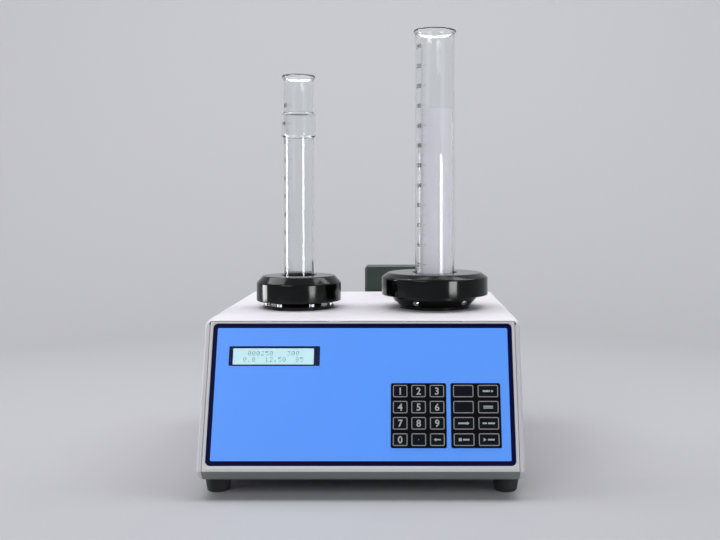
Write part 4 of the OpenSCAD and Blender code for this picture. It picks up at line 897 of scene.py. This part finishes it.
def buildScale(size, axis, s):
    # short arcs up the wall, longer at each fifth and tenth, with a number beside each tenth
    marks = s[size]
    floorZ = boxOf(size + "_cylinder")[0][2] + glassSettings["floor"]
    value = np.arange(marks["first"], marks["last"] + 1, marks["unit"])
    z = floorZ + value / marks["unit"] * marks["step"]
    tenth = value % marks["every"] == 0
    fifth = (value % (marks["every"] // 2) == 0) & ~tenth
    length = np.where(tenth, s["long"], np.where(fifth, s["middle"], s["short"]))
    r = glassSettings["radius"][size] + s["lift"]
    start = math.radians(s["angle"])
    count = s["points"]
    along = np.linspace(0, 1, count)
    angle = start + along * length[:, None] / r
    up = np.array([-0.5, 0.5]) * s["line"]
    a = angle[:, :, None] + 0 * up
    h = z[:, None, None] + up + 0 * a
    strips = np.stack([axis[0] + r * np.cos(a), axis[1] + r * np.sin(a), h], -1)
    first = np.arange(len(z))[:, None] * 2 * count
    cell = np.arange(count - 1)[None, :] * 2 + first
    quads = np.stack([cell, cell + 2, cell + 3, cell + 1], -1).reshape(-1, 4).tolist()
    parts = [(strips, quads)]
    for number, height in zip(value[tenth], z[tenth]):
        p, faces = numberShape(str(number), s["numberHeight"], s["bold"])
        turn = start - (s["numberGap"] - p[:, 0]) / r
        spot = np.stack([axis[0] + r * np.cos(turn), axis[1] + r * np.sin(turn), height + p[:, 1]], -1)
        parts.append((spot, faces))
    makePiece(size + "Scale", parts, looks["scaleInk"], size + "_glass", solid=False)


for size, axis in stations.items():
    buildScale(size, axis, scaleSettings)

powderSettings = {"heap": 1.4 * mm, "corner": 3 * mm, "rows": 26, "steps": 144, "seed": 7,
                  "waves": (1, 2, 3, 5, 8), "crown": 0.55, "ripple": 0.16}


def buildPowder(s):
    # a plug that fills the glass. Its top rises and falls by a few waves, dying out at the wall
    low, high = boxOf("powder_sample")
    outer = (high[0] - low[0]) / 2
    side = softProfile([(0, low[2]), (outer, low[2]), (outer, high[2] - s["heap"])], s["corner"], 6)
    grid = latheGrid(side, rightAxis, s["steps"])
    share = np.linspace(1, 0, s["rows"])[1:]
    a = np.linspace(0, 2 * math.pi, s["steps"], endpoint=False)
    r = share[:, None] * outer
    draw = np.random.default_rng(s["seed"])
    waves = np.zeros((len(share), s["steps"]))
    for count in s["waves"]:
        phase, tilt = draw.uniform(0, 2 * math.pi, 2)
        waves += np.sin(count * a + phase + 3 * share[:, None] * tilt) * share[:, None] ** 1.5 / count
    dome = (1 - share[:, None] ** 2) * s["crown"] + s["ripple"] * waves * (1 - share[:, None] ** 6)
    z = high[2] - s["heap"] + np.clip(dome, -0.4, 1) * s["heap"]
    z[-1] = z[-1].mean()
    top = np.stack([rightAxis[0] + r * np.cos(a), rightAxis[1] + r * np.sin(a), z], -1)
    makePiece("powderSample", [gridPart(np.concatenate([grid, top]))], looks["powder"], "large_glass",
              ["powder_sample"], sharp=60)


buildPowder(powderSettings)
print("stage 8: cylinders, scales and powder")


# stage: a pale sweep that runs from the floor up behind the object

stageSettings = {"colour": "#b4b4b8", "rough": 0.9, "half": 5.0, "near": -5.0, "far": 1.9, "bend": 1.2,
                 "high": 4.0, "glow": 0.85, "glowFrom": 0.9, "glowTo": 2.8, "bendRows": 17}
worldSettings = {"colour": (0.93, 0.95, 1.0, 1), "light": 0.2, "seen": 0.46}


def seenRays(tree):
    # 1 for a ray that shows the studio itself: straight to the camera, in a reflection or through glass
    path = tree.nodes.new("ShaderNodeLightPath")
    seen = path.outputs["Is Camera Ray"]
    for kind in ("Is Glossy Ray", "Is Transmission Ray"):
        seen = mathNode(tree, "MAXIMUM", seen, path.outputs[kind])
    return seen


def paleAway(tree, shader, s):
    # the paper stays as pale far from the lamps as it is near them: a glow that grows with the distance
    place = tree.nodes.new("ShaderNodeTexCoord")
    away = addNode(tree, "ShaderNodeVectorMath", {"operation": "LENGTH"}, Vector=place.outputs["Object"])
    grow = addNode(tree, "ShaderNodeMapRange", Value=away.outputs["Value"], From_Min=s["glowFrom"],
                   From_Max=s["glowTo"], To_Max=s["glow"])
    glow = mathNode(tree, "MULTIPLY", grow.outputs["Result"], seenRays(tree))
    setInputs(shader, Emission_Strength=glow, Emission_Color=linear(s["colour"]))


def buildSweep(s):
    # a flat floor, a quarter circle and an upright, drawn across the whole width
    turn = np.linspace(0, math.pi / 2, s["bendRows"])
    floorLine = [(s["near"], 0.0), (s["far"] - s["bend"], 0.0)]
    bendY = s["far"] - s["bend"] + s["bend"] * np.sin(turn)
    bendZ = s["bend"] - s["bend"] * np.cos(turn)
    line = np.concatenate([floorLine, np.stack([bendY, bendZ], 1)[1:], [(s["far"], s["high"])]])
    across = np.array([-s["half"], s["half"]])
    grid = np.stack([across + 0 * line[:, :1], line[:, :1] + 0 * across, line[:, 1:] + 0 * across], -1)
    mesh = bpy.data.meshes.new("studioSweep")
    mesh.from_pydata(grid.reshape(-1, 3).tolist(), [], gridPart(grid, False, False)[1])
    mesh.polygons.foreach_set("use_smooth", np.ones(len(mesh.polygons), bool))
    sweep = addObject("studioSweep", mesh)
    material = bpy.data.materials.new("studioPaper")
    material.use_nodes = True
    shader = material.node_tree.nodes["Principled BSDF"]
    setInputs(shader, Base_Color=linear(s["colour"]), Roughness=s["rough"], Specular_IOR_Level=0.0)
    paleAway(material.node_tree, shader, s)
    mesh.materials.append(material)


buildSweep(stageSettings)

lightSettings = {
    "key": {"at": (-1.0, -1.6, 1.2), "aim": (0, -0.1, 0.15), "size": (1.0, 1.0), "watts": 10.7},
    "fill": {"at": (1.4, -1.3, 0.9), "aim": (0, 0, 0.15), "size": (0.9, 1.3), "watts": 2.6},
    "leftSky": {"at": (-0.95, 0.2, 1.45), "aim": (0, -0.05, 0.15), "size": (1.0, 0.8), "watts": 10.5},
    "rightSky": {"at": (0.95, 0.2, 1.45), "aim": (0, -0.05, 0.15), "size": (1.0, 0.8), "watts": 10.0},
    "topSky": {"at": (0.0, 0.2, 1.85), "aim": (0, -0.05, 0.15), "size": (1.8, 0.9), "watts": 15,
               "dull": True},
    "backdrop": {"at": (0.0, 0.7, 2.7), "aim": (0, 1.9, 1.1), "size": (3.0, 0.5), "watts": 10},
    "rightStrip": {"at": (0.79, -0.99, 0.17), "aim": (0.07, -0.03, 0.17), "size": (0.34, 0.38), "watts": 6,
                   "shine": True},
    "leftStrip": {"at": (-1.12, 0.11, 0.17), "aim": (0.07, -0.03, 0.17), "size": (0.34, 0.38), "watts": 6.5,
                  "shine": True},
}


def addLights(settings):
    for name, s in settings.items():
        lamp = bpy.data.lights.new(name, "AREA")
        lamp.shape = "RECTANGLE"
        lamp.size, lamp.size_y = s["size"]
        lamp.energy = s["watts"]
        holder = addObject(name, lamp)
        holder.location = s["at"]
        holder.visible_diffuse = not s.get("shine", False)        # a strip only shows as a reflection
        holder.visible_transmission = not s.get("shine", False)
        holder.visible_glossy = not s.get("dull", False)          # a dull light leaves no reflection
        look = np.array(s["aim"]) - np.array(s["at"])
        yaw = math.atan2(look[0], -look[1])
        holder.rotation_euler = (math.acos(-look[2] / np.linalg.norm(look)), 0, yaw + math.pi)


addLights(lightSettings)


def buildWorld(s):
    world = bpy.data.worlds.new("studio")
    bpy.context.scene.world = world
    world.use_nodes = True
    tree = world.node_tree
    level = addNode(tree, "ShaderNodeMapRange", Value=seenRays(tree), To_Min=s["light"], To_Max=s["seen"])
    setInputs(tree.nodes["Background"], Color=s["colour"], Strength=level.outputs["Result"])


buildWorld(worldSettings)

cameraSettings = {"lens": 47.13, "sensor": 36, "at": (0.0369, -0.9774, 0.2562), "pitch": 1.146,
                  "shift": (-0.0606, -0.0698)}


def addCamera(s):
    data = bpy.data.cameras.new("photoView")
    data.lens = s["lens"]
    data.sensor_width = s["sensor"]
    data.shift_x, data.shift_y = s["shift"]
    camera = addObject("photoView", data)
    camera.location = s["at"]
    camera.rotation_euler = (math.radians(90 - s["pitch"]), 0, 0)
    bpy.context.scene.camera = camera


addCamera(cameraSettings)
bpy.context.scene.view_settings.view_transform = "Standard"
print("stage 9: light and camera")
